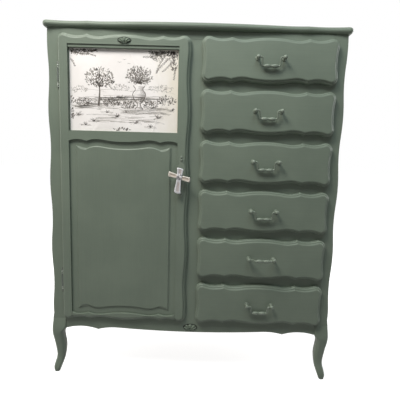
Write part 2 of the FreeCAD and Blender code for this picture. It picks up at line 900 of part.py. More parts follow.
def bail_form():
    """A bail hanging from its pivot line, which is the X axis: bent wire arms and a turned grip."""
    bend, drop = s.bail_bend.value, s.bail_drop.value
    end = s.pull_half.value - s.pivot_gap.value
    shoulder = (s.pull_half - s.shoulder_in).value
    arm = shoulder - bend
    grip = arm - bend
    corner = bend * math.sqrt(0.5)
    left = [
        Part.LineSegment(Vector(-end, 0, 0), Vector(-shoulder, 0, 0)),
        Part.Arc(
            Vector(-shoulder, 0, 0),
            Vector(-shoulder + corner, 0, corner - bend),
            Vector(-arm, 0, -bend),
        ),
        Part.LineSegment(Vector(-arm, 0, -bend), Vector(-arm, 0, bend - drop)),
        Part.Arc(
            Vector(-arm, 0, bend - drop),
            Vector(-grip - corner, 0, bend - drop - corner),
            Vector(-grip, 0, -drop),
        ),
        Part.LineSegment(Vector(-grip, 0, -drop), Vector(0, 0, -drop)),
    ]
    path = Part.Wire([piece.toShape() for piece in left])
    section = Part.Wire(Part.makeCircle(s.wire_radius.value, Vector(-end, 0, 0), Vector(1, 0, 0)))
    arm_solid = path.makePipeShell([section], True, True)
    bead, groove = s.grip_bead.value, s.grip_groove.value
    middle, bead_top, bead_side, start, crest, tip, end = [Vector(-x, 0, radius - drop) for x, radius in (
        (0, 0),
        (0, bead),
        (s.grip_bead_x.value, bead),
        (s.grip_groove_x.value, groove),
        (s.grip_swell.value, s.grip_radius.value),
        (grip, s.grip_end.value),
        (grip, 0),
    )]
    belly = Part.BSplineCurve()
    belly.interpolate([start, crest, tip])
    edges = [belly.toShape()]
    for corner, following in (
        (tip, end),
        (end, middle),
        (middle, bead_top),
        (bead_top, bead_side),
        (bead_side, start),
    ):
        edges.append(Part.LineSegment(corner, following).toShape())
    half_grip = Part.Face(Part.Wire(edges)).revolve(Vector(0, 0, -drop), Vector(1, 0, 0), 360)
    half = arm_solid.fuse(half_grip)
    bail = doc.addObject("Part::Feature", "bail_form")
    bail.Shape = half.fuse(half.mirror(Vector(0, 0, 0), Vector(1, 0, 0))).removeSplitter()
    return bail


def drawers():
    front, box, posts = drawer_forms()
    bail = bail_form()
    for k in range(1, DRAWERS + 1):
        level = first_level - pitch * (k - 1)
        for suffix, form in (("front", front), ("box", box), ("pull_posts", posts)):
            piece = keep(f"drawer_{k}_{suffix}", group(f"set_{suffix}_{k}", [form]))
            piece.Placement.Base.z = level.value
            bind(piece, "Placement.Base.z", level)
        swung = Rotation(Vector(1, 0, 0), -s.bail_raised.value if k == RAISED_DRAWER else s.bail_hang.value)
        hung = keep(f"bail_{k}", group(f"hung_{k}", [bail]))
        put(hung, drawer_centre, pivot_y, level + s.pull_lift, swung)


def door():
    """Frame and panel door: five framing pieces sawn from one moulded outline, with two openings."""
    half = (door_left - door_right) / 2
    front, back = door_front, -s.door_gap
    profile = two_rounds(s.door_thick.value, door_edge.value)
    # On the hinge side the outer round is sawn off, which leaves a flat edge for the hinges.
    sawn = -door_left - profile[-1][0] / 2
    high, low = door_top - s.corner_down, door_bottom + s.corner_down
    upper = scallop(door_centre, half, door_top, 1)
    lower = scallop(door_centre, half, door_bottom, -1)
    upper[0] = (sawn + s.corner_in, *upper[0][1:])
    lower[-1] = (sawn + s.corner_in, *lower[-1][1:])
    right = [(-door_right, high, s.wave_end_sag)] + wave(-door_right) + [(-door_right, low, s.corner_sag)]
    left = [(sawn, low, ZERO), (sawn, high, s.corner_sag)]
    blank = moulded("door_blank", upper + right + lower + left, profile)
    put(blank, 0, back, 0)

    x = (s.door_stile - door_left, -door_right - s.lock_stile)
    through = (front - SPARE, back + SPARE)
    pane = board("pane_opening", x, through, (pane_bottom, pane_top))
    middle = (x[0] + x[1]) / 2
    opening = panel_outline(x, middle)
    hole = put(shaped("panel_opening", "XZ_Plane", opening, s.door_thick + SPARE * 2), 0, front - SPARE, 0)
    tongue_y = (back - s.tongue_back - s.tongue_thick, back - s.tongue_back)
    gap = s.groove_gap
    sunk = s.tongue + gap
    groove_y = (tongue_y[0] - gap, tongue_y[1] + gap)
    groove_z = (panel_bottom - sunk, panel_top + sunk)
    groove = board("panel_groove", (x[0] - sunk, x[1] + sunk), groove_y, groove_z)
    print_front = back - s.print_thick
    rabbet_x = (x[0] - s.rabbet, x[1] + s.rabbet)
    rabbet_z = (pane_bottom - s.rabbet, pane_top + s.rabbet)
    rabbet = board("print_rabbet", rabbet_x, (print_front, back + SPARE), rabbet_z)
    carving = oval_groove("door", *door_shell)
    frame = cut("door_frame", blank, fuse("door_cuts", [pane, hole, groove, rabbet, carving]))
    foot, head = door_bottom - SPARE, door_top + SPARE
    below = (panel_bottom + panel_top) / 2
    above = (pane_bottom + pane_top) / 2
    for label, span, levels in (
        ("door_hinge_stile", (-door_left, x[0]), (foot, head)),
        ("door_lock_stile", (x[1], SPARE - door_right), (foot, head)),
        ("door_top_rail", x, (above, head)),
        ("door_mid_rail", x, (below, above)),
        ("door_bottom_rail", x, (foot, below)),
    ):
        keep(label, common(label + "_cut", frame, board(label + "_span", span, through, levels)))

    tongue = board(
        "panel_tongue",
        (x[0] - s.tongue, x[1] + s.tongue),
        tongue_y,
        (panel_bottom - s.tongue, panel_top + s.tongue),
    )
    margin, step = s.field_margin.value, s.field_step.value
    bevel = margin + s.field_bevel.value
    ledge = (margin + s.mould_step.value, step + s.mould_fall.value)
    field = moulded("panel_field", opening, [(margin, 0), (margin, step), ledge, (bevel, s.field_rise.value)])
    put(field, 0, tongue_y[0], 0)
    keep("door_panel", fuse("panel_raised", [tongue, field]))

    keep("print_board", board(
        "print_sheet",
        (rabbet_x[0] + gap, rabbet_x[1] - gap),
        (print_front, back),
        (rabbet_z[0] + gap, rabbet_z[1] - gap),
    ))
    print_beads(x, print_front)


def panel_outline(x, middle):
    """Outline of the lower door opening, whose cusps and bows point into the opening."""
    top, bottom = panel_top, panel_bottom
    cusp, turn = s.cusp_x, s.turn_x
    dip = s.turn_dip
    return [
        (x[0], top - dip, s.cove_sag),
        (middle - cusp, top - dip, s.notch_sag),
        (middle - turn, top - s.cusp_dip, -s.bow_sag),
        (middle + turn, top - s.cusp_dip, s.notch_sag),
        (middle + cusp, top - dip, s.cove_sag),
        (x[1], top - dip, ZERO),
        (x[1], bottom + dip, s.cove_sag),
        (middle + cusp, bottom + dip, s.notch_sag),
        (middle + turn, bottom + s.cusp_dip, -s.bow_sag),
        (middle - turn, bottom + s.cusp_dip, s.notch_sag),
        (middle - cusp, bottom + dip, s.cove_sag),
        (x[0], bottom + dip, ZERO),
    ]


def print_beads(x, behind):
    """A batten above and three narrow strips hold the printed board in the upper opening."""
    y = (behind - s.bead_depth, behind)
    wide = s.bead_width
    low, high = pane_bottom, pane_top - s.batten_height
    strips = [
        board("batten_top", x, (behind - s.batten_depth, behind), (high, pane_top)),
        board("bead_bottom", x, y, (low, low + wide)),
        board("bead_left", (x[0], x[0] + wide), y, (low + wide, high)),
        board("bead_right", (x[1] - wide, x[1]), y, (low + wide, high)),
    ]
    keep("print_beads", group("beads", strips))


def hinges(post):
    """Two hinges whose barrels stand in front of the post, with pins that end in turned finials.

    The case leaves are let into the post's face behind the door, and the door leaves lie on the door's edge.
    """
    x, y = -door_left - s.leaf_thick - s.hinge_radius, -s.hinge_radius - s.hinge_face_gap
    radius, half = s.hinge_radius, s.hinge_barrel / 2
    middle = s.hinge_middle / 2
    bore = s.hinge_pin + s.hinge_bore_gap
    case_leaves, door_leaves, pins, mortises = [], [], [], []
    for name, z in (("high", door_top - s.hinge_down), ("low", door_bottom + s.hinge_up)):
        whole = rod(f"pin_bore_{name}", bore, s.hinge_barrel + SPARE * 2, x, y, z - half - SPARE, UPRIGHT)
        knuckle = rod(f"knuckle_mid_{name}", radius, s.hinge_middle, x, y, z - middle, UPRIGHT)
        edge_plate = board(
            f"door_leaf_{name}",
            (-door_left - s.leaf_thick, -door_left),
            (-s.door_gap - door_edge, -s.door_gap),
            (z - middle, z + middle),
        )
        web = board(
            f"door_web_{name}",
            (x, -door_left),
            (y - s.leaf_thick / 2, y + s.leaf_thick / 2),
            (z - middle, z + middle),
        )
        joined = fuse(f"door_leaf_joined_{name}", [knuckle, edge_plate, web])
        door_leaves.append(cut(f"door_leaf_bored_{name}", joined, whole))
        solids = []
        inner = middle + s.hinge_slack
        for end, low, high in (("top", inner, half), ("foot", -half, -inner)):
            solids.append(rod(f"knuckle_{end}_{name}", radius, high - low, x, y, z + low, UPRIGHT))
            solids.append(board(
                f"case_web_{end}_{name}",
                (x - s.leaf_thick / 2, x + s.leaf_thick / 2),
                (y, s.leaf_thick),
                (z + low, z + high),
            ))
        let_in = (x - s.leaf_thick / 2, -post_inner), (0, s.leaf_thick), (z - half, z + half)
        solids.append(board(f"case_leaf_{name}", *let_in))
        mortises.append(board(f"mortise_{name}", *let_in))
        case_leaves.append(cut(f"case_leaf_bored_{name}", fuse(f"case_leaf_joined_{name}", solids), whole))
        pins.append(put(turned(f"pin_{name}", pin_outline(half)), x, y, z))
    keep("left_front_post", cut("post_mortised", post, group("mortises", mortises)))
    keep("hinge_case_leaves", group("case_leaves", case_leaves))
    keep("hinge_door_leaves", group("door_leaves", door_leaves))
    keep("hinge_pins", group("pins", pins))


def pin_outline(half):
    """A pin with the same turned finial above and below its barrel."""
    base = half + s.hinge_bore_gap
    wide, neck, sag = s.finial_radius, s.finial_neck, s.finial_sag
    # Radius, height above the barrel, and the sagitta drawn from there upwards, above and below the barrel.
    turnings = [
        (s.hinge_pin, ZERO, ZERO, ZERO),
        (wide, ZERO, ZERO, ZERO),
        (wide, s.finial_cup, -sag, ZERO),
        (neck, s.finial_waist, ZERO, -sag),
        (wide, s.finial_ball, sag, ZERO),
        (neck, s.finial_tip, ZERO, sag),
        (ZERO, s.finial_length, ZERO, ZERO),
    ]
    upper = [(radius, base + z, above) for radius, z, above, below in turnings]
    lower = [(radius, -base - z, below) for radius, z, above, below in reversed(turnings)]
    return lower + upper


def pull():
    """Cross-shaped pull on a stem, over a tall shaped escutcheon plate."""
    plate_front = door_front - s.plate_thick
    x, z = -door_right - s.cross_in, door_middle + s.cross_lift
    up = (trig("sin", s.cross_lean), trig("cos", s.cross_lean))
    out = (trig("cos", s.cross_dip), -trig("sin", s.cross_dip))

    def corner(along, across, sag=ZERO):
        return (out[0] * across + up[0] * along, out[1] * across + up[1] * along, sag)

    waist, flare = s.cross_waist, s.cross_flare
    side_waist, side_flare = s.cross_side_waist, s.cross_side_flare
    side, top, low, sag = s.cross_side, s.cross_top, -s.cross_bottom, s.cross_end_sag
    outline = [
        corner(side_waist, -waist), corner(top, -flare, sag), corner(top, flare),
        corner(side_waist, waist), corner(side_flare, side, sag), corner(-side_flare, side),
        corner(-side_waist, waist), corner(low, flare, sag), corner(low, -flare),
        corner(-side_waist, -waist), corner(-side_flare, -side, sag), corner(side_flare, -side),
    ]
    cross = put(shaped("cross_form", "XZ_Plane", outline, s.cross_thick), x, plate_front - s.cross_reach, z)
    length = s.cross_reach - s.cross_thick / 2
    stem = rod("cross_stem_form", s.cross_stem, length, x, plate_front, z, TO_FRONT)
    keep("cross_pull", fuse("cross_joined", [cross, stem]))
    wide, wide_z, neck, neck_z = s.plate_wide, s.plate_wide_z, s.plate_neck, s.plate_neck_z
    cove, lobe = s.plate_cove_sag, s.plate_lobe_sag
    plate = []
    for way in (1, -1):
        plate += [
            (ZERO, s.plate_half * way, -cove),
            (neck * way, neck_z * way, cove),
            (wide * way, wide_z * way, -lobe),
            (neck * way, ZERO, -lobe),
            (wide * way, -wide_z * way, cove),
            (neck * way, -neck_z * way, -cove),
        ]
    escutcheon = shaped("plate_form", "XZ_Plane", plate, s.plate_thick)
    keep("escutcheon", put(escutcheon, -door_right - s.plate_in, plate_front, door_middle + s.plate_lift))


def catch():
    """Magnetic catch on the edge of the centre stile, and its strike on the back of the door."""
    level = door_middle - s.catch_drop
    z = (level - s.catch_tall / 2, level + s.catch_tall / 2)
    x = (-s.stile_left - s.catch_wide, -s.stile_left)
    strike_y = (-s.door_gap, s.strike_thick - s.door_gap)
    keep("catch_strike", board("strike", (x[0], x[1] - s.box_gap), strike_y, z))
    keep("door_catch", board("magnet", x, (strike_y[1] + s.catch_gap, s.rail_thick), z))


def oval_groove(name, x, y, z, half, rise):
    """A groove round a carved shell, cut into the face at depth y."""
    rings = []
    for role, inset in (("outer", s.groove_wide), ("inner", ZERO)):
        oval = doc.addObject("Part::Ellipse", f"{name}_oval_{role}")
        bind(oval, "MajorRadius", half + inset)
        bind(oval, "MinorRadius", rise + inset)
        put(oval, x, y + s.groove_deep, z, TO_FRONT)
        disc = doc.addObject("Part::Extrusion", f"{name}_disc_{role}")
        disc.Base = oval
        disc.DirMode = "Normal"
        disc.Solid = True
        bind(disc, "LengthFwd", s.groove_deep + SPARE)
        rings.append(disc)
    return cut(name + "_groove", *rings)


def shells():
    """Domed oval shells, carved into flutes that spread from the foot of the oval."""
    for label, (x, y, z, half, rise) in (("door_shell", door_shell), ("apron_shell", apron_shell)):
        dome = doc.addObject("Part::Ellipsoid", label + "_dome")
        bind(dome, "Radius1", s.shell_proud)
        bind(dome, "Radius2", half)
        bind(dome, "Radius3", rise)
        put(dome, x, y, z, TO_FRONT)
        length = half + rise
        flutes = []
        for k in range(FLUTES):
            flute = doc.addObject("Part::Cone", f"{label}_flute_{k + 1}")
            bind(flute, "Radius1", s.shell_root)
            bind(flute, "Radius2", length * trig("tan", s.shell_flute))
            bind(flute, "Height", length)
            turn = s.shell_spread.value * (k / (FLUTES - 1) - 0.5)
            flutes.append(put(flute, x, y, z - rise, Rotation(Vector(0, 1, 0), turn)))
        fan = common(label + "_carved", dome, fuse(label + "_fan", flutes))
        front = board(label + "_front", (x - length, x + length), (y - SPARE, y), (z - length, z + length))
        keep(label, common(label + "_relief", fan, front))


def write():
    doc.recompute()
    for item in doc.Objects:
        if "Invalid" in item.State or "Error" in item.State:
            raise RuntimeError(f"{item.Label} failed: {item.State}")
    for item in parts:
        if item.Shape.isNull() or not item.Shape.isValid() or not item.Shape.Solids:
            raise RuntimeError(f"{item.Label} has no valid solid")
    os.makedirs("parts", exist_ok=True)
    for item in parts:
        item.Shape.exportStep(f"parts/{item.Label}.step")
    print(len(parts), "pieces,", sum(len(item.Shape.Solids) for item in parts), "solids")


left_post = front_posts()
rear_posts()
top_board()
front_frame()
case_panels()
runners()
cupboard()
drawers()
door()
hinges(left_post)
pull()
catch()
shells()
write()
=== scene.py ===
import math
import random

import bmesh
import bpy
from mathutils import Matrix, Vector


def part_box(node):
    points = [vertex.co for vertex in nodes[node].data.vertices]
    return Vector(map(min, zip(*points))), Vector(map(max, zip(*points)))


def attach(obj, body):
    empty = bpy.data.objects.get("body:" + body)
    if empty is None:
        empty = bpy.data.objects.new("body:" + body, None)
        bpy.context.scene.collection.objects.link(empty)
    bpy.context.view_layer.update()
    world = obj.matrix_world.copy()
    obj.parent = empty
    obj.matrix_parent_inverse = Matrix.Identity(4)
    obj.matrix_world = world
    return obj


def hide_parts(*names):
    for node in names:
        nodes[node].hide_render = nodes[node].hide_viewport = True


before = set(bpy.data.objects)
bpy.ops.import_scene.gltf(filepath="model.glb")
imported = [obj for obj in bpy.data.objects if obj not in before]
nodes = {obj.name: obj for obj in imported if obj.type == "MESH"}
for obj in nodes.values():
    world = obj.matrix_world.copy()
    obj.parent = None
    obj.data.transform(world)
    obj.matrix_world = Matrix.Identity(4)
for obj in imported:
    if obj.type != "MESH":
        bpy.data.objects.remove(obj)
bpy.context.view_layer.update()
DRAWERS = range(1, 7)
X_AXIS, Y_AXIS, Z_AXIS = range(3)
RIGHT, OUTWARDS, UP = Vector((1, 0, 0)), Vector((0, -1, 0)), Vector((0, 0, 1))
MM = 0.001
# Places of the two colours and of the result among a mix node's sockets.
MIX_COLOURS, MIX_RESULT = (6, 7), 2

# Camera, in metres and degrees: where the photograph was taken from.
CAMERA_PLACE = Vector((0.032, -1.4450, 0.870))
CAMERA_DOWN = 6.80
CAMERA_TURN = -0.29
CAMERA_ROLL = 1.58
IMAGE_SIDE = 400
FOCAL_PIXELS = 330
SENSOR = 36

# Lamps: place and aim in metres, side in metres, power in watts and tint.
WHITE = (1, 1, 1)
LAMPS = {
    "key": ((-0.9, -1.2, 2.8), (0, 0, 0.8), 0.8, 60, (1.0, 0.975, 0.92)),
    "top": ((0.35, -1.3, 2.8), (0, 0, 0.8), 1.0, 20, (0.84, 1.0, 1.1)),
    "fill": ((-2.2, -1.2, 1.6), (0, 0, 0.8), 1.0, 6, (1.0, 0.96, 0.9)),
    "left": ((-2.6, 0.5, 1.5), (0, 0, 0.7), 1.2, 30, WHITE),
    "right": ((2.6, 0.5, 1.5), (0, 0, 0.7), 1.2, 40, WHITE),
    "back": ((-0.6, 2.8, 2.2), (0, 0, 0.7), 1.6, 80, WHITE),
}
WORLD_TINT, WORLD_STRENGTH = (0.95, 0.98, 1.0), 0.03

# The floor: half its side in metres, how much light it throws back to the part, and how much to the camera.
# It glows so much near the middle and far off, and turns from one to the other between these distances.
FLOOR_HALF = 30
FLOOR_BOUNCE = 0.24
FLOOR_SEEN = 0.36
FLOOR_ROUGH = 0.9
FLOOR_GLOW = (0.885, 1.0)
FLOOR_FADES = (0.9, 2.2)

# Colours, as linear values: the lighter and the darker tone of a surface.
SAGE = ((0.163, 0.195, 0.150), (0.136, 0.165, 0.127))
# The pulls' sage paint, made lighter than the cabinet's so that they look lit: painted light.
PULL_SAGE_PAINTED_LIGHTER = ((0.200, 0.234, 0.182), (0.150, 0.178, 0.138))
# The hinges' sage paint, made darker than the cabinet's: painted shade.
HINGE_SAGE_PAINTED_DARKER = ((0.105, 0.126, 0.102), (0.070, 0.085, 0.070))
BIRCH = ((0.56, 0.40, 0.24), (0.42, 0.28, 0.15))
PLYWOOD = ((0.47, 0.34, 0.21), (0.36, 0.25, 0.14))
STEEL = ((0.62, 0.61, 0.59), (0.48, 0.47, 0.45))
BRONZE = ((0.10, 0.09, 0.075), (0.05, 0.045, 0.04))
PEWTER = ((0.44, 0.43, 0.44), (0.10, 0.095, 0.095))
PAPER = ((0.92, 0.863, 0.835), (0.86, 0.80, 0.77))
PAPER_BACK = ((0.23, 0.145, 0.08), (0.16, 0.095, 0.05))
PAPER_AGED = (0.70, 0.61, 0.46)
DARK_INK = ((0.16, 0.135, 0.115), (0.09, 0.075, 0.065))
SOFT_INK = ((0.42, 0.385, 0.35), (0.30, 0.27, 0.24))
# Colours of carved pieces, on their rims and in their hollows. On the sage carvings and the hinge finials the
# near-black hollows are painted shade and the lighter rims painted highlight.
SILVER = ((0.66, 0.65, 0.66), (0.34, 0.28, 0.26))
CREAM = ((0.70, 0.63, 0.56), (0.42, 0.34, 0.27))
# Near-black painted shade for the hollows of the sage carvings and the hinge finials' necks.
SAGE_PAINTED_SHADE = (0.012, 0.014, 0.011)
# How much lighter a sage carving's rims are painted than the paint: painted highlight.
RIM_PAINTED_HIGHLIGHT = 1.15
CARVED_SAGE_LIT_AND_SHADED = (tuple(RIM_PAINTED_HIGHLIGHT * value for value in SAGE[0]), SAGE_PAINTED_SHADE)
# The hinge finials: a bright rim that is painted highlight, over the near-black painted shade.
FINIAL_HIGHLIGHT_AND_SHADE = ((0.33, 0.37, 0.31), SAGE_PAINTED_SHADE)

# Gloss, as the shader's specular level, and the least and greatest roughness.
PAINT_GLOSS, PAINT_ROUGH = 0.3, (0.40, 0.56)
PULL_GLOSS, PULL_ROUGH = 0.4, (0.3, 0.42)
HINGE_GLOSS, HINGE_ROUGH = 0.5, (0.25, 0.4)
CARVED_GLOSS, CARVED_ROUGH = 0.15, (0.5, 0.65)
FINIAL_GLOSS, FINIAL_ROUGH = 0.6, (0.2, 0.35)
PLAIN_GLOSS = 0.5
POLISHED_ROUGH = (0.28, 0.5)
STEEL_ROUGH = (0.2, 0.35)
DULL_METAL_ROUGH = (0.3, 0.5)
WOOD_ROUGH = (0.6, 0.75)
PRINT_ROUGH = (0.7, 0.85)

# Patterns: noise cells to the metre, along and across the brush or the grain where there are two.
BRUSH = (7, 320)
GRAIN = (5, 130)
WOOD_FIBRE = (30, 1500)
PAINT_CLOUD = 6
METAL_CLOUD = 90
SCRATCH = (1800, 260, 1800)
PAPER_FIBRE = 700
PAPER_CLOUD = 9
PAPER_CREASE = (7, 7, 2.5)
PAPER_STAIN = (14, 14, 8)
INK_MOTTLE = 420
INK_CLOUD = 22
CARVED_GRAIN = 260
NOISE_ROUGHNESS = 0.55
# Noise values over which a pattern changes, and the share of the coarser of two patterns in a colour.
CLOSE, MIDDLE, WIDE = (0.35, 0.65), (0.3, 0.7), (0.2, 0.8)
SCRATCH_SPREAD = (0.25, 0.75)
NOISE_MIDDLE = 0.5
CLOUD_SHARE, GRAIN_SHARE, MOTTLE_SHARE = 0.7, 0.8, 0.5
# Reliefs: their full height in metres, and how strongly they show.
BRUSH_RELIEF = (0.0003, 0.35)
WOOD_RELIEF = (0.0002, 0.3)
METAL_RELIEF = (0.00005, 0.2)
PAPER_RELIEF = (0.0016, 0.6)
CARVED_STRENGTH = 0.5

# The paper: half a crease's width in noise values, and the shares of fibre, crease and cloud in its relief.
# It starts to be yellowed and is most so at two places, in metres from left to right, then come the stains'
# reach and the most that it is yellowed. Its brown back comes where a face turns away from the front.
CREASE_HALF = 0.03
FIBRE_HIGH, CREASE_HIGH, CLOUD_HIGH = 0.08, 0.6, 2
PAPER_AGES = (-0.09, 0.03)
STAIN_REACH = 0.16
MOST_AGED = 0.6
BACK_COMES = (-0.5, 0.5)

# Carved pieces: hollow values over which the hollows darken (on the cross its own darker tone, on the sage
# carvings and hinge finials painted shade), the least darkening, and how a rim is worn.
STAIN_AND_SHADE_COMES = (0.05, 0.8)
LEAST_STAIN_AND_SHADE = 0.55
RIM_WORN = (0.3, 0.75)
RIM_SHADE = 0.78
# Metal's share in their looks, and the full height of their relief in metres.
SILVER_METAL, SILVER_RELIEF = 0.3, 0.0008
CREAM_METAL, CREAM_RELIEF = 0.1, 0.0006
SAGE_RELIEF = 0.0002

# Boards whose edges are eased, by how many metres, and from what angle on.
# The door's bottom rail is eased more.
EASED_BOARDS = ("door_top_rail", "door_mid_rail", "door_hinge_stile", "door_lock_stile", "top_rail",
                "centre_stile")
EASED = 0.0012
EASED_SILL = 0.0026
EASED_ANGLE = 40
EASED_STEPS = 2
WELD_GAP = 0.00001

# Ink on the print, in millimetres: its gap to the paper, and the window that it stays in (left, right, foot
# and head, from the opening's lower left corner). Each ink has its thickness and its random seed.
INK_GAP = 0.02
INK_WINDOW = (4, 400, 4, 296)
SOFT_LAYER = (0.04, 3)
DARK_LAYER = (0.07, 5)
# A leaf's rim as shares of its length and width, and the width of a stroke's fine end.
LEAF_RIM = ((0, 0), (0.3, -0.5), (0.7, -0.36), (1, 0), (0.7, 0.36), (0.3, 0.5))
FINE_END = 0.5
# A spray, as shares of its leaves' length: its stem's line, its leaves' turn in radians, lengths and widths,
# and the width of the leaf at its tip.
SPRAY_LINE = 0.16
SPRAY_TURNS, SPRAY_LENGTHS, SPRAY_WIDTHS = (0.5, 1.0), (0.8, 1.2), (0.3, 0.42)
TIP_WIDTH = 0.36
# A bush: how far below its middle its leaves point away from, as a share of its height, then the spread of
# their directions in radians, and of their lengths and widths as shares.
BUSH_FOOT = 0.6
BUSH_TURNS, BUSH_LENGTHS, BUSH_WIDTHS = (-0.7, 0.7), (0.7, 1.3), (0.28, 0.42)
# Grass: the lean of its blades in radians, their places and lengths as shares of its height, how much of the
# lean they bow, and their line as a share of its height.
GRASS_LEANS, GRASS_PLACES, GRASS_LENGTHS = (-0.8, 0.8), (-0.25, 0.25), (0.5, 1.0)
GRASS_BOW = 0.9
GRASS_LINE = 0.09
# Hatching: lengths as shares of its width, then tilts and bends in radians.
HATCH_LENGTHS, HATCH_TILTS, HATCH_BENDS = (0.15, 0.5), (-0.05, 0.05), (-0.1, 0.1)
# Roses: size and number of petals in each ring, then a petal's place, turn, length, bend and line.
ROSE_RINGS = ((1.0, 7), (0.6, 5))
PETAL_OUT, PETAL_TURN, PETAL_LENGTH, PETAL_BEND, PETAL_LINE = 0.6, 0.9, 0.9, 1.9, 0.16

# The urn: heights and half widths at its mouldings as shares of its height, then its lines in millimetres.
URN = ((0, 0.16), (0.06, 0.16), (0.08, 0.1), (0.16, 0.07), (0.24, 0.06), (0.3, 0.12), (0.45, 0.23),
       (0.62, 0.28), (0.72, 0.25), (0.8, 0.17), (0.88, 0.16), (0.95, 0.22), (1, 0.24))
URN_LINE = 2.4
URN_HATCH = 2.4
URN_HATCH_LINE = 1.6
URN_HATCH_ENDS = (-0.3, 0.5)

# The garden in the soft ink, in millimetres and radians.
# Lines: start, direction, length and bend.
FAR_LINES = ((8, 146, 0.25, 130, -0.5), (110, 150, 0.2, 120, -0.4), (225, 148, 0.24, 165, -0.5))
# Bushes, here and below: middle, width, height and number of leaves, then the leaves' length if it varies.
FAR_BUSHES = ((36, 152, 62, 22, 60), (186, 160, 72, 22, 80), (338, 160, 90, 26, 100))
SOFT_BUSHES = ((110, 194, 104, 70, 230, 8), (258, 204, 96, 62, 190, 8), (200, 112, 210, 34, 200, 7),
               (352, 276, 110, 44, 150, 8), (46, 284, 90, 24, 80, 8))
# Hatching: middle, width, height and number of strokes.
SHADED_GROUND = ((98, 94, 180, 30, 60), (285, 80, 200, 30, 64), (200, 122, 350, 26, 54),
                 (210, 50, 300, 34, 30))
FAR_LINE, GROUND_LINE = 1.1, 1.3
FAR_LEAF = 5

# The garden in the dark ink, in millimetres and radians.
TRUNK = ((108, 94), (111, 120), (113, 148), (110, 176))
TRUNK_WIDTHS = (8, 3)
FORK = (112, 160)
BOUGHS = ((2.3, 34, -0.5), (0.9, 36, 0.5), (1.7, 30, 0.3))
BOUGH_LINE = 3
CROWN = (122, 182, 84, 44, 150, 7)
URN_FOOT = (258, 84)
URN_HIGH = 86
# Roses: middle and radius.
BOUQUET_ROSES = ((240, 188, 10), (264, 196, 11), (284, 182, 9), (252, 212, 9), (276, 214, 8))
BOUQUET_FOOT = (258, 176)
BOUQUET_TWIGS = ((2.9, 40), (2.5, 48), (2.1, 50), (1.75, 46), (1.35, 50), (0.95, 50), (0.6, 46), (0.25, 38))
BOUQUET_MIDDLE, BOUQUET_BEND, BOUQUET_LEAF = 1.55, 0.35, 8
HEDGE = ((52, 108, 60, 30, 100), (158, 106, 64, 30, 110), (216, 98, 48, 26, 80), (304, 100, 54, 28, 90),
         (358, 118, 66, 34, 110))
HEDGE_LEAF = 6
HEDGE_ROSES = ((44, 116, 6), (150, 112, 6), (170, 104, 5), (216, 104, 5), (300, 106, 6), (348, 124, 7),
               (372, 114, 5))
# Tufts of grass: foot and height. Under each lies hatching of one width, height, count and line.
TUFTS = ((34, 58, 18), (92, 38, 16), (176, 54, 19), (246, 34, 16), (330, 54, 20), (380, 82, 15),
         (140, 70, 13), (60, 24, 14), (300, 20, 15), (210, 72, 12))
TUFT_BLADES = 11
TUFT_SHADE = (50, 9, 11, 1.1)
CORNER_BUSHES = ((30, 286, 52, 16, 70), (78, 289, 60, 10, 60), (388, 276, 26, 34, 60),
                 (352, 284, 74, 20, 120), (316, 288, 50, 12, 50), (384, 240, 22, 40, 44),
                 (10, 62, 12, 40, 26), (9, 112, 10, 28, 16), (196, 9, 60, 8, 30))
CORNER_LEAF = 7
BRANCHES = ((24, 284, -0.5, 46, 0.6), (60, 288, -0.7, 40, 0.5), (6, 262, -0.8, 30, -0.4),
            (330, 282, 3.6, 56, -0.5), (352, 276, 4.0, 60, 0.4), (380, 262, 4.2, 52, -0.4),
            (372, 272, 3.8, 74, 0.3), (392, 236, 4.4, 40, 0.3))
BRANCH_LEAF = 6
# Birds: place and wing's length, then each wing's direction and bend, and its line.
BIRDS = ((186, 250, 8), (204, 260, 7), (220, 246, 6))
WINGS = ((0.9, -1.2), (2.24, 1.2))
WING_LINE = 1.1

# The batten and the beads round the print, in millimetres: width and depth, then their edges' rounding.
BATTEN = (11, 10.2)
BEAD_SIDE = (3, 3)
STRIP_ROUND = 1.1
STRIP_STEPS = 4

# The cross-shaped pull, in metres and degrees: its middle, how far its upright leans and its arms dip.
CROSS_X, CROSS_Z = -0.053, 0.80775
CROSS_LEAN, CROSS_DIP = 6.5, 15.0
CROSS_THICK = 0.008
# Arms: length, half width at the middle and half width at the end.
ARM_TOP, ARM_FOOT = (0.033, 0.0095, 0.0127), (0.062, 0.0080, 0.0130)
ARM_LEFT, ARM_RIGHT = (0.042, 0.0075, 0.0102), (0.042, 0.0075, 0.0098)
ARM_START = 0.004
ARM_STEPS, ARM_ACROSS = 16, 12
ARM_BULGE = 0.002
ARM_DENT = 0.0005
# Shares of an arm's length where its end rounds off and where its hollow comes and goes, then how much
# thinner and narrower its end is, how square its edges are, where its rim lies, how deep its hollow is and
# how much of the front's height its back has.
END_ROUNDS = (0.9, 1)
HOLLOW_COMES, HOLLOW_GOES = (0.12, 0.35), (0.8, 0.94)
END_THIN, END_NARROW = 0.9, 0.06
EDGE_POWER = 6
RIM_PLACE = 0.88
HOLLOW = 0.55
BACK_RISE = 0.8
# The binding: turns each way, their pitch, reach and wire, and how many wires each way stands off the arms.
WRAPS = 4
WRAP_PITCH = 0.0031
WRAP_REACH = 0.0118
WIRE = 0.0013
WRAP_STANDS = {-1: 0.6, 1: 1.6}
RING_STEPS, RING_SIDES = 28, 8
# The stem: radii and heights above the plate, then radii and shares of the room behind the cross.
STEM_FOOT = ((0.0075, 0), (0.0075, 0.001), (0.006, 0.0025))
STEM_NECK = ((0.004, 0.5), (0.0052, 0.8))
STEM_HEAD, STEM_SUNK = 0.006, 0.001
TURNED_SIDES = 24

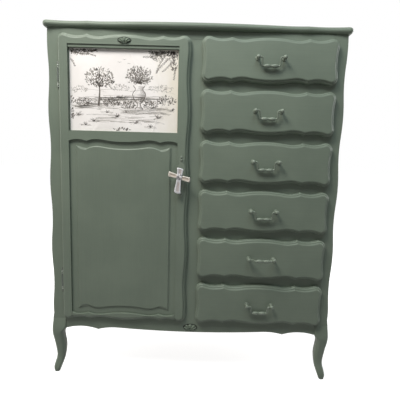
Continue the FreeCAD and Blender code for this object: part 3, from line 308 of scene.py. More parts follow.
# The plate behind the pull, in millimetres: half widths and heights up one side, then heights and radii of
# its beads, and a bead's radii and heights as shares of its radius.
PLATE_SIDE = ((11, 0), (12, 12), (13, 26), (11, 38), (8, 45), (7.5, 52), (8.5, 58), (8, 64), (5.5, 71),
              (2.5, 77), (0, 80))
PLATE_BEADS = ((59.5, 3.9), (69.5, 3.6), (-59.5, 3.9), (-69.5, 3.6))
BEAD = ((1, 0), (1, 0.25), (0.9, 0.6), (0.66, 0.9), (0.34, 1.1), (0.1, 1.16))
PLATE_BEVEL = 0.5
PLATE_STEPS, PLATE_BEVEL_STEPS = 6, 2
PLATE_WELD = 0.01

# The hinge pins' finials, in millimetres: radii and heights from the end of the barrel, then half a pin's
# length, a finial's length and the radii between which its necks get near-black painted shade.
FINIAL = ((1.9, 0), (3.4, 0.3), (4.1, 1.8), (3.5, 3.6), (2, 4.6), (2.2, 5.4), (3.9, 7.2), (4.2, 9.6),
          (3.8, 12), (2.1, 14.2), (2, 15), (3.2, 16.4), (3.4, 18.2), (2.4, 20.8), (0.5, 24.05))
PIN_HALF = 49.05
FINIAL_LENGTH = 24.05
FINIAL_NECK = (2.6, 3.9)
FINIAL_SIDES = 32

# The carved shells, in metres: half widths and half heights, and how far their ground and back stand out.
DOOR_SHELL = (0.0255, 0.0115)
APRON_SHELL = (0.029, 0.014)
SHELL_GROUND = 0.0004
SHELL_BACK = 0.00002
SHELL_RINGS, SHELL_TURNS = 24, 120
# Their relief, as shares of the oval's half axes and of its height, and in radians.
SHELL_FOOT = -0.9
SHELL_SPREAD = 1.4
SHELL_SIZE = 0.88
SHELL_RIBS = 7
SHELL_END = 0.8
SHELL_RISES = (0.04, 0.5)
SHELL_LIP = 0.14
SHELL_VALLEY = 0.4
SHELL_BUTTON, BUTTON_HIGH = 0.17, 0.7
# Lifts over which the low ground and valleys fade out of the near-black painted shade.
SHELL_PAINTED_SHADE = (0.08, 0.42)
LEAST_REACH = 0.01


class Field:
    """A value in a material's node tree that formulas can be written with."""

    def __init__(self, tree, socket):
        self.tree = tree
        self.socket = socket

    def apply(self, operation, *others):
        node = self.tree.nodes.new("ShaderNodeMath")
        node.operation = operation
        for slot, value in zip(node.inputs, (self, *others)):
            if isinstance(value, Field):
                self.tree.links.new(value.socket, slot)
            else:
                slot.default_value = value
        return Field(self.tree, node.outputs[0])

    def __add__(self, other):
        return self.apply("ADD", other)

    def __sub__(self, other):
        return self.apply("SUBTRACT", other)

    def __mul__(self, other):
        return self.apply("MULTIPLY", other)

    def ramp(self, low, high, start=0.0, end=1.0):
        """Smooth change from start at low to end at high."""
        node = self.tree.nodes.new("ShaderNodeMapRange")
        node.interpolation_type = "SMOOTHSTEP"
        self.tree.links.new(self.socket, node.inputs["Value"])
        node.inputs["From Min"].default_value = low
        node.inputs["From Max"].default_value = high
        node.inputs["To Min"].default_value = start
        node.inputs["To Max"].default_value = end
        return Field(self.tree, node.outputs["Result"])


class Surface:
    """A principled material with helpers for its procedural patterns, in metres in the part's frame."""

    def __init__(self, name, metallic=0.0, gloss=PLAIN_GLOSS):
        self.material = bpy.data.materials.new(name)
        self.material.use_nodes = True
        self.tree = self.material.node_tree
        self.shader = self.tree.nodes["Principled BSDF"]
        self.shader.inputs["Metallic"].default_value = metallic
        self.shader.inputs["Specular IOR Level"].default_value = gloss
        coordinates = self.tree.nodes.new("ShaderNodeTexCoord")
        self.place = coordinates.outputs["Object"]
        self.facing = coordinates.outputs["Normal"]

    def part(self, socket, axis):
        """One of a vector's three parts, by its axis' letter."""
        node = self.tree.nodes.new("ShaderNodeSeparateXYZ")
        self.tree.links.new(socket, node.inputs["Vector"])
        return Field(self.tree, node.outputs[axis])

    def noise(self, cells, detail=3.0, distortion=0.0):
        """Noise with so many cells to the metre, in one number or in one for each axis."""
        mapping = self.tree.nodes.new("ShaderNodeMapping")
        self.tree.links.new(self.place, mapping.inputs["Vector"])
        mapping.inputs["Scale"].default_value = cells if isinstance(cells, tuple) else (cells, cells, cells)
        node = self.tree.nodes.new("ShaderNodeTexNoise")
        self.tree.links.new(mapping.outputs["Vector"], node.inputs["Vector"])
        node.inputs["Scale"].default_value = 1.0
        node.inputs["Detail"].default_value = detail
        node.inputs["Roughness"].default_value = NOISE_ROUGHNESS
        node.inputs["Distortion"].default_value = distortion
        return Field(self.tree, node.outputs["Fac"])

    def grained(self, along, cells, detail, distortion=0.0):
        """Noise drawn out along one axis, with cells to the metre along and across it."""
        long, across = cells
        return self.noise(tuple(long if axis == along else across for axis in range(3)), detail, distortion)

    def mix(self, factor, first, second):
        """A colour between two, each a triple or a socket."""
        node = self.tree.nodes.new("ShaderNodeMix")
        node.data_type = "RGBA"
        self.tree.links.new(factor.socket, node.inputs["Factor"])
        for slot, colour in zip(MIX_COLOURS, (first, second)):
            if isinstance(colour, tuple):
                node.inputs[slot].default_value = (*colour, 1.0)
            else:
                self.tree.links.new(colour, node.inputs[slot])
        return node.outputs[MIX_RESULT]

    def toned(self, factor, tones):
        """A colour between a lighter and a darker tone, which it has where the factor is 0."""
        light, dark = tones
        return self.mix(factor, dark, light)

    def colour(self, socket):
        self.tree.links.new(socket, self.shader.inputs["Base Color"])

    def roughness(self, field):
        self.tree.links.new(field.socket, self.shader.inputs["Roughness"])

    def bump(self, field, depth, strength):
        """Relief whose full height is depth metres."""
        node = self.tree.nodes.new("ShaderNodeBump")
        node.inputs["Strength"].default_value = strength
        node.inputs["Distance"].default_value = depth
        self.tree.links.new(field.socket, node.inputs["Height"])
        self.tree.links.new(node.outputs["Normal"], self.shader.inputs["Normal"])


def painted(name, along, tones=SAGE, gloss=PAINT_GLOSS, rough=PAINT_ROUGH):
    """Satin paint laid on with a brush along one axis of the piece."""
    surface = Surface(name, gloss=gloss)
    strokes = surface.grained(along, BRUSH, detail=4)
    cloud = surface.noise(PAINT_CLOUD, detail=4)
    tone = cloud.ramp(*MIDDLE, 0, CLOUD_SHARE) + strokes.ramp(*MIDDLE, 0, 1 - CLOUD_SHARE)
    surface.colour(surface.toned(tone, tones))
    surface.roughness(strokes.ramp(*WIDE, *rough))
    surface.bump(strokes, *BRUSH_RELIEF)
    return surface.material


def bare_wood(name, along, tones):
    """Unfinished timber with its grain along one axis."""
    surface = Surface(name)
    grain = surface.grained(along, GRAIN, detail=5, distortion=0.6)
    fibre = surface.grained(along, WOOD_FIBRE, detail=2)
    tone = grain.ramp(*MIDDLE, 0, GRAIN_SHARE) + fibre.ramp(*MIDDLE, 0, 1 - GRAIN_SHARE)
    surface.colour(surface.toned(tone, tones))
    surface.roughness(fibre.ramp(*WIDE, *WOOD_ROUGH))
    surface.bump(fibre, *WOOD_RELIEF)
    return surface.material


def metal(name, tones, rough):
    """Bare metal with fine scratches."""
    surface = Surface(name, metallic=1.0)
    cloud = surface.noise(METAL_CLOUD, detail=4)
    scratch = surface.noise(SCRATCH, detail=2)
    surface.colour(surface.toned(cloud.ramp(*MIDDLE), tones))
    surface.roughness(scratch.ramp(*SCRATCH_SPREAD, *rough))
    surface.bump(scratch, *METAL_RELIEF)
    return surface.material


def print_paper():
    """Off-white paper with soft creases, yellowed towards its right edge, on a board that is brown behind."""
    surface = Surface("print_paper")
    fibre = surface.noise(PAPER_FIBRE)
    cloud = surface.noise(PAPER_CLOUD)
    folds = surface.noise(PAPER_CREASE, detail=1, distortion=0.8)
    crease = (folds - NOISE_MIDDLE).apply("ABSOLUTE").ramp(0, CREASE_HALF, 1, 0)
    stain = surface.noise(PAPER_STAIN, detail=4, distortion=0.5)
    age = (surface.part(surface.place, "X") + stain * STAIN_REACH).ramp(*PAPER_AGES, 0, MOST_AGED)
    aged = surface.mix(age, surface.toned(cloud.ramp(*MIDDLE), PAPER), PAPER_AGED)
    brown = surface.toned(fibre.ramp(*MIDDLE), PAPER_BACK)
    surface.colour(surface.mix(surface.part(surface.facing, "Y").ramp(*BACK_COMES), aged, brown))
    surface.roughness(fibre.ramp(*WIDE, *PRINT_ROUGH))
    surface.bump(fibre * FIBRE_HIGH + crease * CREASE_HIGH + cloud * CLOUD_HIGH, *PAPER_RELIEF)
    return surface.material


def ink(name, tones):
    """Printing ink that took unevenly on the paper."""
    surface = Surface(name)
    mottle = surface.noise(INK_MOTTLE)
    cloud = surface.noise(INK_CLOUD, detail=2)
    tone = mottle.ramp(*CLOSE, 0, MOTTLE_SHARE) + cloud.ramp(*MIDDLE, 0, 1 - MOTTLE_SHARE)
    surface.colour(surface.toned(tone, tones))
    surface.roughness(mottle.ramp(*WIDE, *PRINT_ROUGH))
    return surface.material


def carved(name, colours, metallic, relief, gloss=PLAIN_GLOSS, rough=POLISHED_ROUGH):
    """Worn on its raised rims and darker in its hollows, which the mesh's hollow values mark; on the sage
    pieces that darkness is painted shade.
    """
    surface = Surface(name, metallic, gloss)
    rim, hollow = colours
    attribute = surface.tree.nodes.new("ShaderNodeAttribute")
    attribute.attribute_name = "hollow"
    grain = surface.noise(CARVED_GRAIN, detail=4, distortion=1.2)
    depth = Field(surface.tree, attribute.outputs["Fac"])
    # The hollows' darkening: the cross's own tone, and painted shade on the sage pieces.
    stain = depth.ramp(*STAIN_AND_SHADE_COMES) * grain.ramp(*MIDDLE, LEAST_STAIN_AND_SHADE, 1)
    shade = surface.mix(grain.ramp(*RIM_WORN), tuple(value * RIM_SHADE for value in rim), rim)
    surface.colour(surface.mix(stain, shade, hollow))
    surface.roughness(grain.ramp(*WIDE, *rough))
    surface.bump(grain, relief, CARVED_STRENGTH)
    return surface.material


paint_across = painted("sage_paint_across", X_AXIS)
paint_upright = painted("sage_paint_upright", Z_AXIS)
# Pulls in sage paint made lighter as painted light.
pull_paint = painted("sage_paint_metal", Y_AXIS, PULL_SAGE_PAINTED_LIGHTER, PULL_GLOSS, PULL_ROUGH)
# Hinge leaves in sage paint made darker as painted shade.
hinge_paint = painted("hinge_paint", Z_AXIS, HINGE_SAGE_PAINTED_DARKER, HINGE_GLOSS, HINGE_ROUGH)
birch_deep = bare_wood("birch_deep", Y_AXIS, BIRCH)
birch_across = bare_wood("birch_across", X_AXIS, BIRCH)
plywood = bare_wood("plywood", Z_AXIS, PLYWOOD)
steel = metal("steel", STEEL, STEEL_ROUGH)
dark_bronze = metal("dark_bronze", BRONZE, DULL_METAL_ROUGH)
paper = print_paper()
ink_dark = ink("ink_dark", DARK_INK)
ink_soft = ink("ink_soft", SOFT_INK)
silver = carved("silver", SILVER, SILVER_METAL, SILVER_RELIEF)
cream = carved("cream", CREAM, CREAM_METAL, CREAM_RELIEF)
# Sage carving: rims painted lighter as highlight, hollows near-black painted shade.
carving = carved("sage_carving", CARVED_SAGE_LIT_AND_SHADED, 0, SAGE_RELIEF, CARVED_GLOSS, CARVED_ROUGH)
# Hinge finials: beads painted bright as highlight, necks near-black painted shade.
finial_lit_and_shaded_paint = carved("finial_lit_and_shaded_paint", FINIAL_HIGHLIGHT_AND_SHADE, 0, SAGE_RELIEF, FINIAL_GLOSS, FINIAL_ROUGH)
pewter = metal("pewter", PEWTER, DULL_METAL_ROUGH)

LOOKS = {
    paint_across: ["top_board", "top_rail", "apron", "drawer_rails", "door_top_rail",
                   "door_mid_rail", "door_bottom_rail"]
                  + [f"drawer_{k}_front" for k in DRAWERS],
    paint_upright: ["left_front_post", "right_front_post", "rear_posts", "centre_stile", "left_side_panel",
                    "right_side_panel", "door_hinge_stile", "door_lock_stile", "door_panel"],
    pull_paint: [f"bail_{k}" for k in DRAWERS] + [f"drawer_{k}_pull_posts" for k in DRAWERS],
    hinge_paint: ["hinge_case_leaves", "hinge_door_leaves"],
    birch_deep: ["drawer_runners", "partition", "shelf_cleats", "rod_sockets"]
                + [f"drawer_{k}_box" for k in DRAWERS],
    birch_across: ["bottom_board", "hat_shelf"],
    plywood: ["back_panel"],
    steel: ["clothes_rod", "door_catch", "catch_strike"],
    paper: ["print_board"],
}


def dressed_nodes():
    """The solids that stay get their materials."""
    for look, names in LOOKS.items():
        for name in names:
            materials = nodes[name].data.materials
            materials.clear()
            materials.append(look)


def eased(name, width, clamped):
    """A board's sharp edges are eased, as sanding leaves them; clamped, only as far as short facets let."""
    node = nodes[name]
    weld = node.modifiers.new("weld", "WELD")
    weld.merge_threshold = WELD_GAP
    bevel = node.modifiers.new("eased_edges", "BEVEL")
    bevel.width = width
    bevel.segments = EASED_STEPS
    bevel.limit_method = "ANGLE"
    bevel.angle_limit = math.radians(EASED_ANGLE)
    bevel.use_clamp_overlap = clamped


def finished(name, points, faces, look, body, slot, smooth=True):
    """A closed mesh piece that rides on a body."""
    bm = bmesh.new()
    corners = [bm.verts.new(point) for point in points]
    for face in faces:
        bm.faces.new([corners[k] for k in face]).smooth = smooth
    bmesh.ops.recalc_face_normals(bm, faces=bm.faces)
    mesh = bpy.data.meshes.new(name)
    bm.to_mesh(mesh)
    bm.free()
    mesh.materials.append(look)
    item = bpy.data.objects.new(name, mesh)
    bpy.context.scene.collection.objects.link(item)
    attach(item, body)
    return item


def hollowed(item, depths):
    """Marks how hollow a carved piece is at each point, from 0 to 1."""
    item.data.attributes.new("hollow", "FLOAT", "POINT").data.foreach_set("value", depths)


class Ink:
    """Printed shapes, each a thin closed plate on the paper, in millimetres from the opening's corner."""

    def __init__(self, corner, thick, seed):
        self.corner = corner
        self.depths = (INK_GAP, INK_GAP + thick)
        self.draw = random.Random(seed).uniform
        self.points = []
        self.faces = []

    def plate(self, rim, fronts):
        """A plate with these points round its rim, if it fits; each front face lists places in the rim."""
        left, right, foot, head = INK_WINDOW
        if not all(left < u < right and foot < v < head for u, v in rim):
            return
        first, count = len(self.points), len(rim)
        for depth in self.depths:
            self.points += [self.corner + Vector((u, -depth, v)) * MM for u, v in rim]
        for front in fronts:
            self.faces.append([first + k for k in front])
            self.faces.append([first + count + k for k in front])
        for k in range(count):
            after = (k + 1) % count
            self.faces.append([first + k, first + after, first + count + after, first + count + k])

    def stroke(self, line, wide, fine=FINE_END):
        """A line that tapers from its start to its end."""
        last = len(line) - 1
        left, right = [], []
        for k, (u, v) in enumerate(line):
            before, after = line[max(k - 1, 0)], line[min(k + 1, last)]
            way = Vector((after[0] - before[0], after[1] - before[1])).normalized()
            half = (wide + (fine - wide) * k / last) / 2
            left.append((u - way.y * half, v + way.x * half))
            right.append((u + way.y * half, v - way.x * half))
        end = 2 * last + 1
        self.plate(right + left[::-1], [(k, k + 1, end - k - 1, end - k) for k in range(last)])

    def leaf(self, u, v, angle, length, width):
        """A pointed leaf that grows from a place."""
        cos, sin = math.cos(angle), math.sin(angle)
        rim = []
        for reach, half in LEAF_RIM:
            x, y = reach * length, half * width
            rim.append((u + x * cos - y * sin, v + x * sin + y * cos))
        self.plate(rim, [range(len(rim))])

    def arc(self, u, v, angle, length, bend, wide, steps=6):
        """A curved stroke; returns its points and the direction at each."""
        line = [(u, v)]
        ways = [angle]
        for k in range(steps):
            angle += bend / steps
            u += math.cos(angle) * length / steps
            v += math.sin(angle) * length / steps
            line.append((u, v))
            ways.append(angle)
        self.stroke(line, wide)
        return list(zip(line, ways))

    def spray(self, u, v, angle, length, bend, size):
        """A twig with leaves of about one length on both sides."""
        steps = max(int(length / size * 2), 4)
        stem = self.arc(u, v, angle, length, bend, size * SPRAY_LINE, steps)
        side = 1
        for (u, v), way in stem[1:]:
            side = -side
            turn = way + side * self.draw(*SPRAY_TURNS)
            self.leaf(u, v, turn, size * self.draw(*SPRAY_LENGTHS), size * self.draw(*SPRAY_WIDTHS))
        tip, way = stem[-1]
        self.leaf(*tip, way, size, size * TIP_WIDTH)

    def bush(self, u, v, wide, high, count, size):
        """Leaves of about one length that fill an oval and point away from its foot."""
        for k in range(count):
            turn = self.draw(0, 2 * math.pi)
            reach = math.sqrt(self.draw(0, 1))
            x, y = u + wide / 2 * reach * math.cos(turn), v + high / 2 * reach * math.sin(turn)
            out = math.atan2(y - v + high * BUSH_FOOT, x - u) + self.draw(*BUSH_TURNS)
            length = size * self.draw(*BUSH_LENGTHS)
            self.leaf(x, y, out, length, length * self.draw(*BUSH_WIDTHS))

    def grass(self, u, v, blades, high):
        """A tuft whose blades bow outwards."""
        for k in range(blades):
            lean = self.draw(*GRASS_LEANS)
            start = u + self.draw(*GRASS_PLACES) * high
            length = high * self.draw(*GRASS_LENGTHS)
            self.arc(start, v, math.pi / 2 - lean, length, -lean * GRASS_BOW, high * GRASS_LINE, steps=4)

    def ground(self, u, v, wide, high, count, line):
        """Level hatching, longest at its middle height."""
        for k in range(count):
            level = self.draw(-1, 1)
            reach = wide * (1 - level * level) * self.draw(*HATCH_LENGTHS)
            start = u + self.draw(-0.5, 0.5) * (wide - reach) - reach / 2
            tilt, bend = self.draw(*HATCH_TILTS), self.draw(*HATCH_BENDS)
            self.arc(start, v + level * high / 2, tilt, reach, bend, line)

    def rose(self, u, v, radius):
        """A round blossom of curled petals."""
        for ring, petals in ROSE_RINGS:
            for k in range(petals):
                turn = 2 * math.pi * k / petals + ring
                out = radius * ring * PETAL_OUT
                x, y = u + math.cos(turn) * out, v + math.sin(turn) * out
                length, line = radius * ring * PETAL_LENGTH, radius * PETAL_LINE
                self.arc(x, y, turn - PETAL_TURN, length, PETAL_BEND, line, steps=4)

    def urn(self, u, v, high):
        """A garden urn on a foot: its outline, and hatching on its shaded side."""
        for side in (-1, 1):
            outline = [(u + side * half * high, v + level * high) for level, half in URN]
            self.stroke(outline, URN_LINE, URN_LINE)
        for (low, half), (top, wider) in zip(URN, URN[1:]):
            steps = max(int((top - low) * high / URN_HATCH), 1)
            for k in range(steps):
                t = k / steps
                reach, level = (half + (wider - half) * t) * high, v + (low + (top - low) * t) * high
                end = u - reach * self.draw(*URN_HATCH_ENDS)
                self.stroke([(u + reach, level), (end, level)], URN_HATCH_LINE)


def garden_shade(soft):
    """Far hills and bushes, hatched ground, and the soft leaves behind the dark ones."""
    for line in FAR_LINES:
        soft.arc(*line, FAR_LINE, steps=12)
    for bush in FAR_BUSHES:
        soft.bush(*bush, FAR_LEAF)
    for ground in SHADED_GROUND:
        soft.ground(*ground, GROUND_LINE)
    for bush in SOFT_BUSHES:
        soft.bush(*bush)
    for u, v, high in TUFTS:
        soft.ground(u, v, *TUFT_SHADE)


def garden(dark):
    """An urn of flowers and a round tree behind a hedge, under overhanging branches."""
    dark.stroke(TRUNK, *TRUNK_WIDTHS)
    for bough in BOUGHS:
        dark.arc(*FORK, *bough, BOUGH_LINE)
    dark.bush(*CROWN)
    dark.urn(*URN_FOOT, URN_HIGH)
    for rose in BOUQUET_ROSES:
        dark.rose(*rose)
    for angle, length in BOUQUET_TWIGS:
        dark.spray(*BOUQUET_FOOT, angle, length, (BOUQUET_MIDDLE - angle) * BOUQUET_BEND, BOUQUET_LEAF)
    for bush in HEDGE:
        dark.bush(*bush, HEDGE_LEAF)
    for rose in HEDGE_ROSES:
        dark.rose(*rose)
    for u, v, high in TUFTS:
        dark.grass(u, v, TUFT_BLADES, high)
    for bush in CORNER_BUSHES:
        dark.bush(*bush, CORNER_LEAF)
    for branch in BRANCHES:
        dark.spray(*branch, BRANCH_LEAF)
    for u, v, size in BIRDS:
        for angle, bend in WINGS:
            dark.arc(u, v, angle, size, bend, WING_LINE, steps=4)


def printed_panel():
    """The print's drawing, in two inks."""
    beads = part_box("print_beads")[0]
    corner = Vector((beads[0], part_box("print_board")[0][1], beads[2]))
    soft = Ink(corner, *SOFT_LAYER)
    dark = Ink(corner, *DARK_LAYER)
    garden_shade(soft)
    garden(dark)
    for name, layer, look in (("print_ink_soft", soft, ink_soft), ("print_ink_dark", dark, ink_dark)):
        finished(name, layer.points, layer.faces, look, "door", "print_paper", smooth=False)


def strip(first, start, end, inward, wide, deep):
    """Points and faces of a bead with rounded front edges; its foot lies on the line from start to end."""
    turns = [math.pi / 2 * k / STRIP_STEPS for k in range(STRIP_STEPS + 1)]
    near = [(STRIP_ROUND * (1 - math.sin(turn)), deep - STRIP_ROUND * (1 - math.cos(turn))) for turn in turns]
    far = [(wide - across, depth) for across, depth in near]
    profile = [(0, 0), *reversed(near), *far, (wide, 0)]
    count = len(profile)
    points = [place + (inward * across + OUTWARDS * depth) * MM
              for place in (start, end) for across, depth in profile]
    faces = [range(first, first + count), range(first + count, first + 2 * count)]
    for k in range(count):
        after = (k + 1) % count
        faces.append([first + k, first + after, first + count + after, first + count + k])
    return points, faces


def print_frame():
    """The batten above the print, and the beads that hold its other three sides."""
    low, high = (Vector(corner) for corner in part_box("print_beads"))
    foot, head = low.z + BEAD_SIDE[0] * MM, high.z - BATTEN[0] * MM
    points, faces = [], []
    for start, end, inward, size in (
        ((low.x, high.z), (high.x, high.z), -UP, BATTEN),
        ((low.x, low.z), (high.x, low.z), UP, BEAD_SIDE),
        ((low.x, foot), (low.x, head), RIGHT, BEAD_SIDE),
        ((high.x, foot), (high.x, head), -RIGHT, BEAD_SIDE),
    ):
        ends = [Vector((x, high.y, z)) for x, z in (start, end)]
        bead = strip(len(points), *ends, inward, *size)
        points += bead[0]
        faces += bead[1]
    frame_piece = finished("print_frame", points, faces, paint_across, "door", "painted_wood", smooth=False)
    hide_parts("print_beads")


def blended(value, low, high):
    """0 below low, 1 above high, and smooth between."""
    t = min(max((value - low) / (high - low), 0), 1)
    return t * t * (3 - 2 * t)


def carved_arm(name, along, aside, size, middle, look):
    """An arm of the pull that widens to its end, with a raised rim round a hollow face."""
    length, waist, flare = size
    points, faces, depths = [], [], []
    around = 2 * ARM_ACROSS
    dent = random.Random(name).uniform
    for k in range(ARM_STEPS + 1):
        t = k / ARM_STEPS
        close = math.sqrt(1 - END_THIN * blended(t, *END_ROUNDS) ** 2)
        half = (waist + (flare - waist) * t) * (1 - END_NARROW + END_NARROW * close)
        for j in range(around):
            across = -math.cos(math.pi * j / ARM_ACROSS)
            edge = math.sqrt(max(1 - across ** EDGE_POWER, 0))
            front = j <= ARM_ACROSS
            dip = math.cos(math.pi / 2 * min(abs(across) / RIM_PLACE, 1)) ** 2 if front else 0
            dip *= blended(t, *HOLLOW_COMES) * (1 - blended(t, *HOLLOW_GOES))
            rise = CROSS_THICK / 2 * close * edge * (1 - HOLLOW * dip) * (1 if front else -BACK_RISE)
            rise -= dent(0, ARM_DENT) if front else 0
            reach = ARM_START + (length - ARM_START) * t - ARM_BULGE * across * across * t
            points.append(middle + along * reach + aside * (half * across) + OUTWARDS * rise)
            depths.append(dip)
    for k in range(ARM_STEPS):
        for j in range(around):
            after = (j + 1) % around
            faces.append([k * around + j, k * around + after, (k + 1) * around + after, (k + 1) * around + j])
    faces.append(range(around))
    faces.append(range(ARM_STEPS * around, (ARM_STEPS + 1) * around))
    arm = finished(name, points, faces, look, "door", "cross_metal")
    hollowed(arm, depths)
    return arm


def wire_ring(first, middle, across, depth, radius):
    """Points and faces of a closed wire that follows an oval; first is the number of its first point."""
    points, faces = [], []
    axis = across.cross(depth).normalized()
    for k in range(RING_STEPS):
        turn = 2 * math.pi * k / RING_STEPS
        place = middle + across * math.cos(turn) + depth * math.sin(turn)
        way = (depth * math.cos(turn) - across * math.sin(turn)).normalized()
        aside = way.cross(axis)
        for j in range(RING_SIDES):
            angle = 2 * math.pi * j / RING_SIDES
            points.append(place + axis * (radius * math.cos(angle)) + aside * (radius * math.sin(angle)))
            after, onward = (j + 1) % RING_SIDES, (k + 1) % RING_STEPS
            faces.append([first + k * RING_SIDES + j, first + k * RING_SIDES + after,
                          first + onward * RING_SIDES + after, first + onward * RING_SIDES + j])
    return points, faces


def turned(first, place, profile, along, sides=TURNED_SIDES):
    """Points and faces of a turning from (radius, distance along an axis from a place)."""
    points, faces = [], []
    other = along.cross(RIGHT)
    for radius, reach in profile:
        for j in range(sides):
            angle = 2 * math.pi * j / sides
            out = RIGHT * (radius * math.cos(angle)) + other * (radius * math.sin(angle))
            points.append(place + along * reach + out)
    for k in range(len(profile) - 1):
        for j in range(sides):
            after = (j + 1) % sides
            faces.append([first + k * sides + j, first + k * sides + after,
                          first + (k + 1) * sides + after, first + (k + 1) * sides + j])
    faces.append(range(first, first + sides))
    faces.append(range(first + (len(profile) - 1) * sides, first + len(profile) * sides))
    return points, faces


def cross_pull():
    """Four carved arms bound with wire, on a turned stem."""
    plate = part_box("escutcheon")[0][1]
    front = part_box("cross_pull")[0][1]
    middle = Vector((CROSS_X, front + CROSS_THICK / 2, CROSS_Z))
    lean, dip = math.radians(CROSS_LEAN), math.radians(CROSS_DIP)
    up = Vector((math.sin(lean), 0, math.cos(lean)))
    right = Vector((math.cos(dip), 0, -math.sin(dip)))
    arms = [
        carved_arm("cross_arm_top", up, right, ARM_TOP, middle, silver),
        carved_arm("cross_arm_foot", -up, right, ARM_FOOT, middle, silver),
        carved_arm("cross_arm_left", -right, up, ARM_LEFT, middle, cream),
        carved_arm("cross_arm_right", right, up, ARM_RIGHT, middle, cream),
    ]
    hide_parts("cross_pull")
    points, faces = [], []
    for side, stands in WRAP_STANDS.items():
        along, aside = (up + right * side).normalized(), (right - up * side).normalized()
        depth = OUTWARDS * (CROSS_THICK / 2 + WIRE * stands)
        for k in range(WRAPS):
            shift = (k - (WRAPS - 1) / 2) * WRAP_PITCH
            ring = wire_ring(len(points), middle + aside * shift, along * WRAP_REACH, depth, WIRE)
            points += ring[0]
            faces += ring[1]
    finished("cross_binding", points, faces, pewter, "door", "cross_metal")
    foot = Vector((CROSS_X, plate, CROSS_Z))
    room = plate - front - CROSS_THICK
    neck = [(radius, room * share) for radius, share in STEM_NECK]
    profile = [*STEM_FOOT, *neck, (STEM_HEAD, room + STEM_SUNK)]
    finished("cross_stem", *turned(0, foot, profile, OUTWARDS), dark_bronze, "door", "cross_metal")


def escutcheon():
    """The tall plate behind the pull, with beads near its ends."""
    low, high = (Vector(corner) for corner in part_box("escutcheon"))
    middle = (low + high) / 2
    curve = bpy.data.curves.new("escutcheon_outline", "CURVE")
    curve.dimensions = "2D"
    curve.fill_mode = "BOTH"
    curve.resolution_u = PLATE_STEPS
    curve.extrude = (high.y - low.y) / 2 - PLATE_BEVEL * MM
    curve.bevel_depth = PLATE_BEVEL * MM
    curve.bevel_resolution = PLATE_BEVEL_STEPS
    rim = list(PLATE_SIDE)
    rim += [(-half, level) for half, level in reversed(PLATE_SIDE[:-1])]
    rim += [(-half, -level) for half, level in PLATE_SIDE[1:]]
    rim += [(half, -level) for half, level in reversed(PLATE_SIDE[1:-1])]
    spline = curve.splines.new("BEZIER")
    spline.bezier_points.add(len(rim) - 1)
    spline.use_cyclic_u = True
    for point, (x, z) in zip(spline.bezier_points, rim):
        point.co = (x * MM, z * MM, 0)
        point.handle_left_type = point.handle_right_type = "AUTO"
    drawn = bpy.data.objects.new("escutcheon_outline", curve)
    bm = bmesh.new()
    bm.from_mesh(bpy.data.meshes.new_from_object(drawn))
    bpy.data.objects.remove(drawn)
    bmesh.ops.remove_doubles(bm, verts=bm.verts, dist=PLATE_WELD * MM)
    stand = Matrix.Translation(middle) @ Matrix.Rotation(math.pi / 2, 4, "X")
    bmesh.ops.transform(bm, matrix=stand, verts=bm.verts)
    bm.verts.index_update()
    points = [vert.co.copy() for vert in bm.verts]
    faces = [[vert.index for vert in face.verts] for face in bm.faces]
    bm.free()
    plate = finished("escutcheon_plate", points, faces, pull_paint, "door", "painted_metal", smooth=False)
    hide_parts("escutcheon")
    points, faces = [], []
    for level, radius in PLATE_BEADS:
        place = Vector((middle.x, low.y, middle.z + level * MM))
        profile = [(wide * radius * MM, reach * radius * MM) for wide, reach in BEAD]
        bead = turned(len(points), place, profile, OUTWARDS)
        points += bead[0]
        faces += bead[1]
    finished("escutcheon_beads", points, faces, pull_paint, "door", "painted_metal")


def hinge_finials():
    """Both hinge pins, each with the same turned finial above and below."""
    low, high = (Vector(corner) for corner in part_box("hinge_pins"))
    half = PIN_HALF * MM
    rising = [(radius * MM, half - (FINIAL_LENGTH - reach) * MM) for radius, reach in FINIAL]
    profile = [(radius, -reach) for radius, reach in reversed(rising)] + rising
    points, faces, depths = [], [], []
    for level in (low.z + half, high.z - half):
        place = Vector(((low.x + high.x) / 2, (low.y + high.y) / 2, level))
        pin = turned(len(points), place, profile, UP, FINIAL_SIDES)
        points += pin[0]
        faces += pin[1]
        # The necks get near-black painted shade.
        for radius, reach in profile:
            depths += [1 - blended(radius / MM, *FINIAL_NECK)] * FINIAL_SIDES
    pins = finished("hinge_finials", points, faces, finial_lit_and_shaded_paint, "case", "painted_metal")
    hollowed(pins, depths)
    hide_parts("hinge_pins")


def shell_lift(u, v):
    """Height of a shell's relief, from 0 to 1, at a place in an oval whose half axes are 1."""
    x, y = u, v - SHELL_FOOT
    angle = math.atan2(x, y)
    if abs(angle) > SHELL_SPREAD:
        return 0
    half_chord = math.sqrt(max(SHELL_SIZE ** 2 - (math.sin(angle) * SHELL_FOOT) ** 2, 0))
    reach = math.cos(angle) * -SHELL_FOOT + half_chord
    place = math.hypot(x, y) / max(reach, LEAST_REACH)
    rib = math.sin(math.pi * ((angle / SHELL_SPREAD / 2 + 0.5) * SHELL_RIBS % 1))
    end = SHELL_END + (1 - SHELL_END) * math.sqrt(rib)
    body = blended(place, *SHELL_RISES) * (1 - blended(place, end - SHELL_LIP, end))
    button = max(1 - (math.hypot(x, y - SHELL_BUTTON) / SHELL_BUTTON) ** 2, 0)
    return max((SHELL_VALLEY + (1 - SHELL_VALLEY) * rib) * body, BUTTON_HIGH * button)


